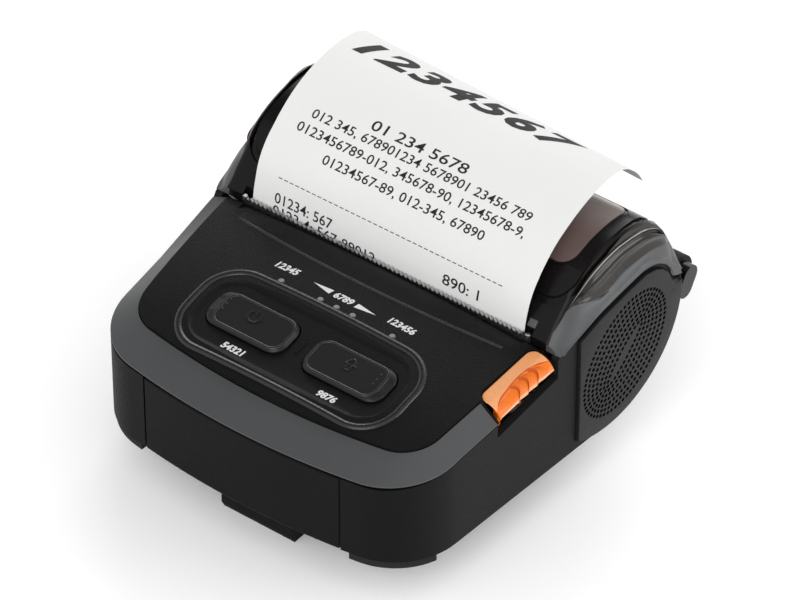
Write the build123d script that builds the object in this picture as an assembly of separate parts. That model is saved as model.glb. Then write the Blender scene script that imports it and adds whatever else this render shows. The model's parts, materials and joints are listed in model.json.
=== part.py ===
"""A portable receipt printer: a case with a drop-in roll tub, sprung keys and a hinged roll cover.

Millimetres. X is to the right, Y is rearward and Z is up. The origin is on the surface that the printer
stands on, under the middle of the case, whose front is 50 mm before it and whose rear is 50 mm behind it.
"""

import os
from math import acos, cos, hypot, pi, radians, sin, sqrt, tan

from build123d import *

# The case in plan: its bowed front, its corners and the sides that widen to the rear.
FRONT_Y = -50.0
FRONT_ARC_R = 215.0
FRONT_CORNER_R = 18.0
HALF_WIDTH = 50.0
SIDE_FLARE = 0.0565
CASE_WALL = 2.0
GAP = 0.3

# The case from the side: the flat base, the round tub and the line where the upper parts meet it.
BASE_Z = 12.4
TUB_Y, TUB_Z, TUB_R = 22.5, 39.9, 27.5
REAR_WALL_TOP = 41.6
BEZEL_SEAT = [(-60.0, 34.0), (-45.5, 34.0), (-29.0, 36.9), (-16.0, 38.4), (4.2, 42.6), (5.4, 44.2)]
LID_SEAT = [(19.3, 48.9), (30.0, 51.0), (35.6, 51.8), (39.6, 51.1), (42.6, 49.4), (45.0, 46.8), (46.6, 43.4)]

# The round side covers and their vent holes.
COVER_R, COVER_PROUD, COVER_SUNK = 26.8, 1.0, 0.4
COVER_FRONT_Y, COVER_BELOW_SEAT = 12.2, 1.1

# The control panel, the bezel round it and the sunk plane that holds the keys.
PANEL_TOP = [(-60.0, 31.0), (-52.0, 35.4), (-45.0, 38.7), (-38.2, 41.2), (-32.0, 42.9), (-25.6, 44.2),
             (-19.0, 45.2), (-12.5, 46.0), (-7.0, 46.6), (0.0, 47.2), (8.0, 47.6)]
PANEL_CROWN_R = 425.0
STEP_HALF, STEP_END_Y, STEP_MIDDLE_Y, STEP_DROP, STEP_CROWN_R = 39.5, 0.5, -2.8, 0.5, 565.0
SLOPE_Y0, SLOPE_DROP, SLOPE_HALF = 2.6, 1.1, 41.2
PANEL_WALL = 2.2
PANEL_FRONT_Y, PANEL_FRONT_Z = -41.2, 38.7
PANEL_HALF_WIDTH, PANEL_FLARE, PANEL_CORNER_R = 45.65, 0.1, 10.0
PANEL_REAR_Y = 4.7
BEZEL_WALL, BEZEL_END_Y, BEZEL_REAR_Y = 2.0, -16.2, 5.3
KEY_PLANE_Y, KEY_PLANE_Z, KEY_SLOPE = -27.0, 42.3, 11.0
RECESS_LENGTH, RECESS_WIDTH, RECESS_R, RECESS_Y = 60.0, 23.2, 8.5, -26.2
RECESS_SIDE, RECESS_DEPTH = 2.6, 1.4
KEY_X, KEY_Y, KEY_LENGTH, KEY_WIDTH, KEY_R = 14.1, -25.6, 23.0, 10.8, 3.8
KEY_PROUD, KEY_FLANGE_DROP, KEY_FLANGE, KEY_STEM = 1.1, 3.2, 0.5, 3.95
LIGHT_Y, LIGHT_R = -12.5, 0.95
LIGHT_X = [-16.2, -4.7, 0.0, 4.7, 16.2]

# The roll cover and its hinge.
LID_FRONT_Y, LIP_Y0, LIP_Y1, SLOT_HALF = 5.7, 7.2, 9.4, 42.3
LID_TOP = [(5.7, 46.9), (8.6, 50.1), (12.0, 53.5), (15.5, 56.8), (19.0, 59.4), (23.0, 61.2), (27.0, 62.2),
           (31.0, 62.6), (35.0, 62.6), (38.5, 62.2), (41.5, 61.1), (44.0, 59.2), (46.1, 56.3), (47.8, 53.0),
           (48.9, 49.8), (49.5, 46.6), (49.8, 43.4)]
LID_SECTION = [(42.0, 0.995), (46.9, 0.985), (47.6, 0.95), (48.1, 0.85), (48.5, 0.76), (48.9, 0.735),
               (49.2, 0.64), (49.8, 0.47), (50.3, 0.27), (51.3, 0.14), (52.6, 0.0)]
LID_SECTION_HALF, LID_REAR_SPREAD = 51.4, 0.0014
LID_GROW, LID_WALL = 0.5, 1.8
WINDOW_HALF, WINDOW_Y0, WINDOW_Y1, WINDOW_R = 43.0, 19.0, 43.0, 4.0
WINDOW_THICK, WINDOW_LEDGE, RIM_WIDTH, RIM_DEPTH = 1.0, 2.5, 0.9, 0.35
PLATE_HALF, PLATE_Y, PLATE_R, DITCH_WIDTH, DITCH_DEPTH = 46.6, 12.7, 5.5, 1.5, 0.6
TRIM_X, TRIM_Y0 = 46.4, 5.0
TRIM_LINE = [(5.0, 45.6), (7.8, 48.9), (9.9, 50.7), (14.0, 53.4), (15.5, 53.3), (17.9, 52.8), (21.0, 52.2),
             (24.8, 53.0), (28.8, 54.2), (33.6, 54.9), (39.0, 55.0), (43.5, 54.0), (47.0, 52.5), (52.0, 49.5)]
HINGE_Y, HINGE_Z = 48.2, 43.3
PIN_R, KNUCKLE_R, RELIEF_R, FIT = 0.8, 1.7, 2.3, 0.05
BASE_KNUCKLES, LID_KNUCKLES = (36.0, 42.0), (24.0, 35.7)

# The platen, its gear train and the print head.
PLATEN_Y, PLATEN_Z, PLATEN_R = 11.3, 40.6, 4.6
RUBBER_HALF, SHAFT_R, BUSH_R = 40.3, 1.5, 2.6
ARM_X0, ARM_X1, ARM_R = 41.4, 43.0, 3.2
PLATE_X0, PLATE_X1 = 44.4, 45.4
GEAR_X0, GEAR_X1 = -47.2, -45.7
GEAR_MODULE, PRESSURE_ANGLE, BACKLASH = 0.5, 20.0, 0.1
PLATEN_TEETH, IDLER_TEETH, PINION_TEETH = 20, 32, 12
IDLER_ANGLE, PINION_ANGLE = -105.0, 197.3
IDLER_DISTANCE = GEAR_MODULE * (PLATEN_TEETH + IDLER_TEETH) / 2
PINION_DISTANCE = GEAR_MODULE * (IDLER_TEETH + PINION_TEETH) / 2
IDLER_Y = PLATEN_Y + IDLER_DISTANCE * cos(radians(IDLER_ANGLE))
IDLER_Z = PLATEN_Z + IDLER_DISTANCE * sin(radians(IDLER_ANGLE))
PINION_Y = IDLER_Y + PINION_DISTANCE * cos(radians(PINION_ANGLE))
PINION_Z = IDLER_Z + PINION_DISTANCE * sin(radians(PINION_ANGLE))
IDLER_PHASE = radians(IDLER_ANGLE) + pi + pi / IDLER_TEETH
MOTOR_R, MOTOR_X1 = 7.0, -28.4
HEAD_Y0, HEAD_Y1, HEAD_Z0, HEAD_Z1, HEAD_HALF = 5.2, 6.2, 35.0, 43.4, 41.0
TEAR_PITCH, TEAR_DEPTH, TEAR_TOP = 1.3, 0.7, 46.9

# The latch: a shaft with two hooks, and the orange button that turns it.
LATCH_Y, LATCH_Z, LATCH_R = 2.5, 33.0, 1.2
HOOK_X0, HOOK_X1 = 43.4, 44.1
LEVER_X0, LEVER_X1, LEG_X1, LEVER_Y = 45.6, 46.0, 46.9, -12.8
BUTTON_Y0, BUTTON_Y1, BUTTON_R = -15.2, 4.0, 2.3
BUTTON_SECTION = [(43.3, 44.1), (46.7, 43.9), (48.6, 42.8), (49.7, 41.0), (48.4, 40.7), (47.6, 41.7),
                  (46.2, 42.2), (43.3, 42.4)]
BUTTON_ALONG = (0.045, 1.0, 0.11)

# Paper.
PAPER_HALF, SHEET = 39.75, 0.2
ROLL_Y, ROLL_Z, ROLL_R, CORE_R, CORE_BORE_R = 29.45, 34.1, 14.3, 6.4, 5.0
WEB_PATH = [(17.2, 23.0), (12.2, 29.2), (8.0, 34.6), (6.9, 36.2), (6.38, 38.0), (6.38, 44.5)]
TONGUE_RIGHT = [(6.38, 44.9), (6.6, 47.4), (7.6, 51.6), (9.1, 55.3), (11.8, 59.0), (15.0, 62.2),
                (18.4, 64.8), (22.6, 67.0), (27.3, 68.9), (33.0, 70.4), (39.0, 71.0), (44.0, 70.0),
                (47.8, 67.3), (50.4, 64.3), (51.9, 61.7)]
TONGUE_LEFT = [(6.38, 44.9), (6.6, 47.4), (7.6, 52.0), (9.0, 56.3), (11.6, 60.4), (14.7, 63.4),
               (18.1, 66.2), (22.0, 68.7), (26.3, 70.6), (31.6, 72.1), (37.6, 72.8), (42.8, 72.5),
               (47.4, 71.2), (50.8, 68.7), (52.6, 65.9)]

# The tub that holds the roll.
BUCKET_R, BUCKET_WALL, BUCKET_HALF, CHEEK_X0 = 25.3, 1.6, 42.0, 40.5

# The battery pack and its bay.
PACK_HALF, PACK_REAR_Y, PACK_TOP_Z = 28.45, -14.4, 31.6
PACK_LIP_Y, PACK_LIP_Z = -46.3, 33.7
RAIL_Z0, RAIL_Z1, RAIL_DEPTH = 20.0, 22.0, 1.5
BAY_WALL = 1.5
CONTACT_X = [-9.0, -4.5, 0.0, 4.5, 9.0]
CONTACT_Z0, CONTACT_Z1 = 19.0, 25.0

# The rear bar and the belt clip.
BAR_Y, BAR_Z = 54.5, 35.7
BAR_LONG, BAR_SHORT, BAR_TILT = 8.6, 5.4, 59.0
BAR_HALF, JOURNAL_R, JOURNAL_X0, JOURNAL_X1 = 52.0, 2.8, 8.0, 21.3
EAR_X0, EAR_X1, EAR_R = 45.0, 49.0, 5.6
CLIP_HALF, CLIP_THICK, CLIP_ARC_Y, CLIP_ARC_Z, CLIP_ARC_R = 21.0, 3.2, 26.0, 31.6, 30.0
CLIP_NOSE_Y, CLIP_NOSE_HALF, CLIP_NOSE_Z, CLIP_KNUCKLE_X0, CLIP_KNUCKLE_R = -43.0, 10.5, 11.4, 14.3, 4.4

# Feet, screws and the port cover on the left.
FOOT_Z = 10.0
SCREWS = [(36.0, -26.0), (45.2, 12.0)]
PORT_Y0, PORT_Y1, PORT_Z0, PORT_Z1, PORT_THICK = -30.0, -10.5, 18.3, 31.0, 1.2
JACK_Y, JACK_Z, USB_Y, USB_Z = -25.5, 24.6, -16.2, 24.6


def block(x0, x1, y0, y1, z0, z1):
    """A box between two corners."""
    return Pos((x0 + x1) / 2, (y0 + y1) / 2, (z0 + z1) / 2) * Box(x1 - x0, y1 - y0, z1 - z0)


def pair(x0, x1, y0, y1, z0, z1):
    """A box on the right and its mirror image on the left."""
    return block(x0, x1, y0, y1, z0, z1) + block(-x1, -x0, y0, y1, z0, z1)


def across(face, x0, x1):
    """Extrudes a side-view face along X from x0 to x1."""
    return extrude(Plane.YZ.offset(x0) * face, x1 - x0)


def both_sides(face, x0, x1):
    """The same side-view piece on the right and on the left."""
    return across(face, x0, x1) + across(face, -x1, -x0)


def rod(y, z, radius, x0, x1):
    """A round bar along X."""
    return across(Pos(y, z) * Circle(radius), x0, x1)


def post(x, y, radius, z0, z1):
    """A round bar along Z."""
    return Pos(x, y, (z0 + z1) / 2) * Cylinder(radius, z1 - z0)


def outline(points):
    """A flat face from a closed list of points."""
    return make_face(Polyline(*points, close=True))


def at_y(points, y):
    """The height of a profile at one Y."""
    for (y0, z0), (y1, z1) in zip(points, points[1:]):
        if y <= y1:
            return z0 + (z1 - z0) * (y - y0) / (y1 - y0)
    return points[-1][1]


def offset_points(points, distance):
    """Moves each point of a profile to the right of its run by a distance."""
    moved = []
    for i, (y, z) in enumerate(points):
        y0, z0 = points[max(i - 1, 0)]
        y1, z1 = points[min(i + 1, len(points) - 1)]
        length = hypot(y1 - y0, z1 - z0)
        moved.append((y + distance * (z1 - z0) / length, z - distance * (y1 - y0) / length))
    return moved


def ribbon(points, thickness):
    """A flat face that follows a run of points with an even thickness."""
    near = offset_points(points, thickness / 2)
    far = offset_points(points, -thickness / 2)
    return outline(near + far[::-1])


def smooth(points, count):
    """A denser run of points along a spline through the given ones."""
    curve = Spline(*points)
    return [((curve @ (i / count)).X, (curve @ (i / count)).Y) for i in range(count + 1)]


def half_width(y, grow=0.0):
    """Half the case's width at one Y."""
    return HALF_WIDTH + SIDE_FLARE * y + grow


def plan_face(grow=0.0, back=62.0):
    """The case's outline from above, grown or shrunk."""
    radius = FRONT_ARC_R + grow
    centre_y = FRONT_Y + FRONT_ARC_R
    corner_y = FRONT_Y
    for _ in range(8):
        corner_x = half_width(corner_y, grow)
        corner_y = centre_y - sqrt(radius ** 2 - corner_x ** 2)
    front = ThreePointArc((-corner_x, corner_y), (0, FRONT_Y - grow), (corner_x, corner_y))
    rest = Polyline((corner_x, corner_y), (half_width(back, grow), back), (-half_width(back, grow), back),
                    (-corner_x, corner_y))
    face = make_face(front + rest)
    return fillet(face.vertices().sort_by(Axis.Y)[:2], FRONT_CORNER_R + grow)


def plan_prism(grow=0.0, z0=0.0, z1=90.0, back=62.0):
    """The case's outline extruded upwards."""
    return extrude(Pos(0, 0, z0) * plan_face(grow, back), z1 - z0)


def panel_half(y, grow=0.0):
    """Half the control panel's width at one Y."""
    return PANEL_HALF_WIDTH + PANEL_FLARE * y + grow


def panel_face(grow=0.0, back=PANEL_REAR_Y):
    """The control panel's outline from above, grown or shrunk."""
    front_y = PANEL_FRONT_Y - grow
    corner_y = front_y + 4.0
    corner_x = panel_half(corner_y, grow)
    front = ThreePointArc((-corner_x, corner_y), (0, front_y), (corner_x, corner_y))
    rest = Polyline((corner_x, corner_y), (panel_half(back, grow), back), (-panel_half(back, grow), back),
                    (-corner_x, corner_y))
    face = make_face(front + rest)
    return fillet(face.vertices().sort_by(Axis.Y)[:2], PANEL_CORNER_R + grow)


def under_crown(profile, crown_r, floor_z=20.0, half=56.0):
    """The space under a surface that runs along a profile and is crowned across X."""
    drop = crown_r - sqrt(crown_r ** 2 - half ** 2)
    sections = []
    for y, z in profile:
        arc = ThreePointArc((-half, z - drop), (0, z), (half, z - drop))
        sides = Polyline((half, z - drop), (half, floor_z), (-half, floor_z), (-half, z - drop))
        sections.append(Plane.XZ.offset(-y) * make_face(arc + sides))
    return loft(sections, ruled=True)


def under_panel_top(lower=0.0):
    """Everything below the control panel's top, with its lens-shaped rear step and the slope to the slot."""
    top = under_crown(PANEL_TOP, PANEL_CROWN_R)
    arc = ThreePointArc((-STEP_HALF, STEP_END_Y), (0, STEP_MIDDLE_Y), (STEP_HALF, STEP_END_Y))
    lens = make_face(arc + Polyline((STEP_HALF, STEP_END_Y), (STEP_HALF, 9), (-STEP_HALF, 9),
                                    (-STEP_HALF, STEP_END_Y)))
    rear = under_crown([(y, z - STEP_DROP) for y, z in PANEL_TOP], STEP_CROWN_R)
    top -= extrude(Pos(0, 0, 30) * lens, 30) - rear
    falls = [(SLOPE_Y0, STEP_DROP), (8.0, STEP_DROP + 2 * SLOPE_DROP)]
    slope = [(y, at_y(PANEL_TOP, y) - fall) for y, fall in falls]
    top -= block(-SLOPE_HALF, SLOPE_HALF, SLOPE_Y0, 8.0, 30, 60) - under_crown(slope, STEP_CROWN_R)
    return Pos(0, 0, -lower) * top


def panel_height(x, y):
    """The height of the control panel's top surface."""
    return at_y(PANEL_TOP, y) - x ** 2 / (2 * PANEL_CROWN_R)


def below_seat(raise_by=0.0):
    """The side-view region below the line on which the bezel and the cover sit."""
    line = offset_points(BEZEL_SEAT + LID_SEAT + [(60.0, 43.4)], -raise_by)
    return outline(line + [(60.0, -10.0), (-60.0, -10.0)])


def above_seat(raise_by=0.0):
    """The solid above that line."""
    return block(-60, 60, -59, 59, 0, 90) - across(below_seat(raise_by), -61, 61)


def tub_face(radius, base_z, top_z=44.0):
    """The side-view region of the base and the round tub behind it."""
    box = outline([(-60.0, base_z), (TUB_Y, base_z), (TUB_Y, 90.0), (-60.0, 90.0)])
    rear = outline([(TUB_Y, TUB_Z), (TUB_Y + radius, TUB_Z), (TUB_Y + radius, top_z), (TUB_Y, top_z)])
    return box + Pos(TUB_Y, TUB_Z) * Circle(radius) + rear


def under_bezel(lower=0.0):
    """The sloped ring from the case's outline up to the control panel's outline, filled below."""
    seat_slope, panel_slope = 0.12, 0.165
    outer_plane = Plane(origin=(0, FRONT_Y, 34.3), x_dir=(1, 0, 0), z_dir=(0, -seat_slope, 1))
    inner_plane = Plane(origin=(0, PANEL_FRONT_Y, PANEL_FRONT_Z), x_dir=(1, 0, 0), z_dir=(0, -panel_slope, 1))
    outer = outer_plane * Pos(0, -FRONT_Y) * plan_face(0.8, 12.0)
    inner = inner_plane * Pos(0, -PANEL_FRONT_Y) * panel_face(0.0, 12.0)
    front = loft([outer, inner], ruled=True)
    front &= block(-60, 60, -60, BEZEL_END_Y, 0, 90)
    sections = []
    for y, rise_out, rise_in in [(BEZEL_END_Y, 38.4, 42.8), (BEZEL_REAR_Y, 43.1, 44.3)]:
        side = [(-half_width(y, 0.8), rise_out), (-panel_half(y), rise_in), (panel_half(y), rise_in),
                (half_width(y, 0.8), rise_out), (half_width(y, 0.8), 20.0), (-half_width(y, 0.8), 20.0)]
        sections.append(Plane.XZ.offset(-y) * outline(side))
    return Pos(0, 0, -lower) * (front + loft(sections, ruled=True))


def key_plane(rise=0.0):
    """The plane of the key recess's floor."""
    slope = radians(KEY_SLOPE)
    origin = (0, KEY_PLANE_Y - rise * sin(slope), KEY_PLANE_Z + rise * cos(slope))
    return Plane(origin=origin, x_dir=(1, 0, 0), z_dir=(0, -sin(slope), cos(slope)))


def recess_face(rise, grow):
    """The key recess's rounded outline at one height over its floor, grown or shrunk."""
    shape = RectangleRounded(RECESS_LENGTH + 2 * grow, RECESS_WIDTH + 2 * grow, RECESS_R + grow)
    return key_plane(rise) * Pos(0, RECESS_Y - KEY_PLANE_Y) * shape


def key_shape(x, grow, rise0, rise1):
    """A rounded bar square to the key plane, round one key's middle."""
    shape = RectangleRounded(KEY_LENGTH + 2 * grow, KEY_WIDTH + 2 * grow, KEY_R + grow)
    return extrude(key_plane(rise0) * Pos(x, KEY_Y - KEY_PLANE_Y) * shape, rise1 - rise0)


def button_plan(grow=0.0):
    """The release button's outline from above, with its two inner corners rounded."""
    x0 = BUTTON_SECTION[0][0] - grow
    y0, y1 = BUTTON_Y0 - grow, BUTTON_Y1 + grow
    face = outline([(x0 - 0.5, y0), (60, y0), (60, y1), (x0 + 0.4, y1)])
    return fillet(face.vertices().sort_by(Axis.X)[:2], BUTTON_R + grow)


def button_bar(section):
    """A cross-section of the release button run along its slope."""
    start = -25.0
    along = Vector(*BUTTON_ALONG)
    moved = [(x + along.X * start, z + along.Z * start) for x, z in section]
    face = Plane.XZ.offset(5.5 - start) * outline(moved)
    return extrude(face, 45.0, dir=along)


def make_bay():
    """The block round the battery pack's space, which leaves the bay's walls once that space is cut out."""
    wall = GAP + BAY_WALL
    return block(-PACK_HALF - wall, PACK_HALF + wall, -60, PACK_REAR_Y + wall, 0, PACK_TOP_Z + wall)


def pack_space(gap=0.0):
    """The space that the battery pack takes, with its taller front plate and its side grooves."""
    half = PACK_HALF + gap
    space = block(-half, half, -60, PACK_REAR_Y + gap, BASE_Z - 5, PACK_TOP_Z + gap)
    space += block(-half, half, -60, PACK_LIP_Y + gap, BASE_Z - 5, PACK_LIP_Z + gap + 5 * gap)
    return space


def make_lower_case():
    outer = plan_prism() & across(tub_face(TUB_R, BASE_Z) & below_seat(), -60, 60)
    inside = plan_prism(-CASE_WALL) & across(tub_face(TUB_R - CASE_WALL, BASE_Z + CASE_WALL), -60, 60)
    case = outer - inside
    case += make_bay() & outer
    case -= pack_space(GAP)
    bay_half = PACK_HALF + GAP
    case += pair(bay_half - RAIL_DEPTH, bay_half + 0.5, -45.0, PACK_REAR_Y + 0.5, RAIL_Z0, RAIL_Z1)
    case -= block(-60, 60, 47.5, 60, REAR_WALL_TOP, 60)
    case -= rod(HINGE_Y, HINGE_Z, RELIEF_R, -60, 60)
    for x, y in SCREWS:
        for side in (-1, 1):
            case += post(side * x, y, 2.6, BASE_Z, 16.6)
            case -= post(side * x, y, 2.4, BASE_Z - 1, 13.8)
            case -= post(side * x, y, 1.2, BASE_Z, 16.4)
    knuckle = Pos(HINGE_Y, HINGE_Z) * Circle(KNUCKLE_R)
    web = outline([(47.95, 38.0), (49.3, 38.0), (49.6, 43.3), (47.95, 43.3)])
    case += both_sides(knuckle + web, *BASE_KNUCKLES)
    case -= rod(HINGE_Y, HINGE_Z, PIN_R, -60, 60)
    ear = Pos(BAR_Y, BAR_Z) * Circle(EAR_R)
    ear += outline([(47.0, 27.0), (BAR_Y, BAR_Z - EAR_R), (BAR_Y, BAR_Z + EAR_R), (48.4, 41.4)])
    case += both_sides(ear, EAR_X0, EAR_X1) - rod(TUB_Y, TUB_Z, TUB_R - 0.5, -60, 60)
    case -= across(bar_face(), -60, 60)
    slot = outline([(-16.0, 34.7), (5.3, 38.7), (5.3, 46.0), (-16.0, 46.0)])
    case -= across(slot, 45.0, 60.0)
    case += block(46.3, 49.2, -0.2, 2.3, 31.0, 33.0) & outer
    case -= make_cover_blank(GAP, 0.0)
    pad = block(-60, 0, PORT_Y0 - 1.0, PORT_Y1 + 1.0, PORT_Z0 - 1.5, PORT_Z1 + 1.5)
    case += pad & (plan_prism(-1.0) - plan_prism(-CASE_WALL - 1.5))
    case -= port_blank(GAP, PORT_THICK + GAP)
    case -= rod(JACK_Y, JACK_Z, 3.3, -60, -42)
    case -= block(-60, -42, USB_Y - 4.6, USB_Y + 4.6, USB_Z - 1.9, USB_Z + 1.9)
    for x in CONTACT_X:
        case -= block(x - 1.3, x + 1.3, PACK_REAR_Y, -11.0, CONTACT_Z0 - 0.2, CONTACT_Z1 + 0.2)
    return case


def port_blank(gap, depth):
    """The port cover's plate, which follows the left wall."""
    plate = block(-60, -30, PORT_Y0 - gap, PORT_Y1 + gap, PORT_Z0 - gap, PORT_Z1 + gap)
    return plate & (plan_prism(1.0 if gap else 0.0) - plan_prism(-depth))


def make_cover_blank(gap, proud):
    """Both round side covers, from the ground under them to their outer faces."""
    seat = offset_points(BEZEL_SEAT + LID_SEAT, COVER_BELOW_SEAT - gap)
    under = outline(seat + [(60.0, 43.0), (60.0, -10.0), (-60.0, -10.0)])
    disc = Pos(TUB_Y, TUB_Z) * Circle(COVER_R + gap / 2)
    shell = plan_prism(proud if proud else 3.0) - plan_prism(-COVER_SUNK)
    return across(disc & under, -60, 60) & shell & block(-60, 60, COVER_FRONT_Y - gap / 2, 60, 0, 60)


def make_side_cover(side):
    """One round side cover, relieved where the roll cover's rear corner swings past it."""
    blank = make_cover_blank(0.0, COVER_PROUD) - rod(HINGE_Y, HINGE_Z, RELIEF_R, -60, 60)
    return blank & (block(0, 60, -60, 60, 0, 90) if side > 0 else block(-60, 0, -60, 60, 0, 90))


def make_control_panel():
    top = under_panel_top() & extrude(panel_face(), 60)
    inner = under_panel_top(PANEL_WALL) & extrude(panel_face(-2.0, 20.0), 60)
    shell = top - inner
    surround = under_bezel() & under_panel_top(-0.4) & plan_prism()
    surround &= block(41.0, 60, BEZEL_END_Y + 0.2, BEZEL_REAR_Y, 30, 60)
    hollow = under_bezel(2.4) & block(40, 60, BEZEL_END_Y, BEZEL_REAR_Y, 20, 60)
    shell = (shell + (surround - hollow)) & above_seat(GAP)
    shell -= extrude(Pos(0, 0, 30) * button_plan(GAP), 30) & block(40, 60, -60, 60, 30, 60)
    shell += extrude(recess_face(-2.9, 0.5), 4.2) & under_panel_top() & extrude(panel_face(-1.0), 60)
    shell -= loft([recess_face(0.0, -RECESS_SIDE), recess_face(RECESS_DEPTH, 0.0)], ruled=True)
    shell -= extrude(recess_face(RECESS_DEPTH, 0.0), 6.0)
    for x in (-KEY_X, KEY_X):
        shell -= key_shape(x, GAP, -5.0, 5.0)
    for x in LIGHT_X:
        shell -= post(x, LIGHT_Y, LIGHT_R + 0.03, 35, 60)
    return shell


def make_bezel():
    ring = under_bezel() - under_bezel(BEZEL_WALL)
    ring &= plan_prism(0.0) & above_seat(GAP)
    ring -= extrude(panel_face(0.2, 20.0), 90)
    return ring - block(0, 60, BEZEL_END_Y, 60, 0, 90)


def make_key(x):
    """A key with its retaining flange and the stem that works its switch."""
    key = key_shape(x, 0.0, -1.9, KEY_PROUD)
    top_edges = key.faces().sort_by(Axis.Z)[-1].edges()
    key = chamfer(top_edges, 0.6)
    key += key_shape(x, 0.9, -KEY_FLANGE_DROP - KEY_FLANGE, -KEY_FLANGE_DROP)
    stem = Pos(x, KEY_Y - KEY_PLANE_Y) * Rectangle(4, 3)
    return key + extrude(key_plane(-KEY_STEM) * stem, KEY_STEM)


def make_status_lights():
    lights = [post(x, LIGHT_Y, LIGHT_R, 37.5, panel_height(x, LIGHT_Y) + 0.1) for x in LIGHT_X]
    return lights[0] + lights[1:]


def make_main_board():
    return block(-37, 37, -35, -8.5, 34.9, 36.3)


def make_key_switch(x):
    return block(x - 3, x + 3, KEY_Y - 3, KEY_Y + 3, 36.3, 37.2)


def lid_dome(inset=0.0):
    """The filled form of the cover, or of its hollow when it is inset."""
    seat = BEZEL_SEAT[-1:] + LID_SEAT + [(60.0, 43.4)]
    sections = []
    for y, z in offset_points(LID_TOP, inset):
        base = at_y(seat, y)
        spread = half_width(y) / LID_SECTION_HALF * (1 + LID_REAR_SPREAD * max(0.0, y - 30.0))
        right = [(x * spread - inset, base + share * (z - base)) for x, share in LID_SECTION]
        left = [(-x, height) for x, height in reversed(right)]
        foot = [(right[-1][0], 20.0), (left[0][0], 20.0)]
        sections.append(Plane.XZ.offset(-y) * outline(left + right + foot))
    return loft(sections, ruled=True)


def window_prism(grow):
    """The window's rounded outline from above as an upright prism, grown or shrunk."""
    face = RectangleRounded(2 * (WINDOW_HALF + grow), WINDOW_Y1 - WINDOW_Y0 + 2 * grow, WINDOW_R + grow)
    return extrude(Pos(0, (WINDOW_Y0 + WINDOW_Y1) / 2, 44) * face, 40)


def plate_prism(grow):
    """The outline of the cover's raised plate as an upright prism, grown or shrunk."""
    length = 60.0
    face = RectangleRounded(2 * (PLATE_HALF + grow), length + 2 * grow, PLATE_R + grow)
    return extrude(Pos(0, PLATE_Y + length / 2, 44) * face, 40)


def make_lid_parts():
    """The cover's frame, its two side trims and its window."""
    dome = lid_dome()
    shell = dome & plan_prism(LID_GROW) & above_seat(GAP)
    shell -= lid_dome(LID_WALL) & plan_prism(LID_GROW - LID_WALL)
    shell -= block(-SLOT_HALF, SLOT_HALF, 0, LIP_Y1, 0, 90)
    shell += dome & block(-SLOT_HALF, SLOT_HALF, LIP_Y0, LIP_Y1 + 0.2, 43.4, 90)
    arm = outline([(8.1, PLATEN_Z), (14.5, PLATEN_Z), (15.5, 60), (8.1, 60)])
    arm += Pos(PLATEN_Y, PLATEN_Z) * Circle(ARM_R)
    shell += both_sides(arm, ARM_X0, ARM_X1) & lid_dome(0.3)
    shell -= rod(PLATEN_Y, PLATEN_Z, PLATEN_R + 0.4, -ARM_X0, ARM_X0)
    shell -= rod(PLATEN_Y, PLATEN_Z, BUSH_R, -ARM_X1 - 0.5, ARM_X1 + 0.5)
    shell -= rod(PLATEN_Y, PLATEN_Z, 6.0, GEAR_X0 - 0.4, GEAR_X1 + 0.4)
    shell += both_sides(Pos(HINGE_Y, HINGE_Z) * Circle(KNUCKLE_R), *LID_KNUCKLES)
    x0, x1 = BASE_KNUCKLES
    shell -= both_sides(Pos(HINGE_Y, HINGE_Z) * Circle(2.05), x0 - GAP, x1 + GAP)
    shell -= rod(HINGE_Y, HINGE_Z, PIN_R + FIT, -60, 60)
    under_window = lid_dome(WINDOW_THICK)
    window = (dome - under_window) & window_prism(0.0)
    shell -= window_prism(FIT) - under_window
    shell -= window_prism(-WINDOW_LEDGE)
    shell -= window_prism(RIM_WIDTH) - lid_dome(RIM_DEPTH)
    ditch = plate_prism(DITCH_WIDTH) - plate_prism(0.0) - lid_dome(DITCH_DEPTH)
    shell -= ditch - trim_region(0.0)
    sides = trim_region(0.0)
    return shell - trim_region(FIT), shell & sides, window


def trim_region(grow):
    """The space on both sides that the trims take out of the cover, grown or not."""
    line = [(TRIM_Y0 - grow, TRIM_LINE[0][1])] + TRIM_LINE[1:]
    face = outline([(y, z + grow) for y, z in line] + [(52.0, 20.0), (TRIM_Y0 - grow, 20.0)])
    return both_sides(face, TRIM_X - grow, 60)


def make_mechanism_frame():
    """Two side plates with open notches for the platen shaft, joined by a cross plate."""
    plate = outline([(-6.0, 18.0), (16.0, 18.0), (16.0, 42.6), (7.0, 42.6), (6.2, 39.4), (-6.0, 39.4)])
    left = outline([(-10.6, 16.9), (16.0, 16.9), (16.0, 42.6), (7.0, 42.6), (6.2, 39.4), (-10.6, 39.4)])
    frame = across(plate, PLATE_X0, PLATE_X1) + across(left, -PLATE_X1, -PLATE_X0)
    frame += block(-PLATE_X0 - 0.5, PLATE_X0 + 0.5, -0.8, 0.2, 34.6, 39.4)
    frame += block(-HEAD_HALF, HEAD_HALF, -0.8, 0.2, 39.0, 41.6)
    notch = Pos(PLATEN_Y, PLATEN_Z) * Circle(SHAFT_R + GAP)
    notch += outline([(PLATEN_Y - SHAFT_R - GAP, PLATEN_Z), (PLATEN_Y + SHAFT_R + GAP, PLATEN_Z),
                      (PLATEN_Y + SHAFT_R + GAP, 50), (PLATEN_Y - SHAFT_R - GAP, 50)])
    frame -= across(notch, -60, 60)
    frame -= rod(LATCH_Y, LATCH_Z, LATCH_R + FIT, -60, 60)
    frame -= rod(PINION_Y, PINION_Z, 2.6, -60, 0)
    return frame - rod(IDLER_Y, IDLER_Z, 1.0, -60, 0)


def involute(angle):
    """The involute function of a pressure angle in radians."""
    return tan(angle) - angle


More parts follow.
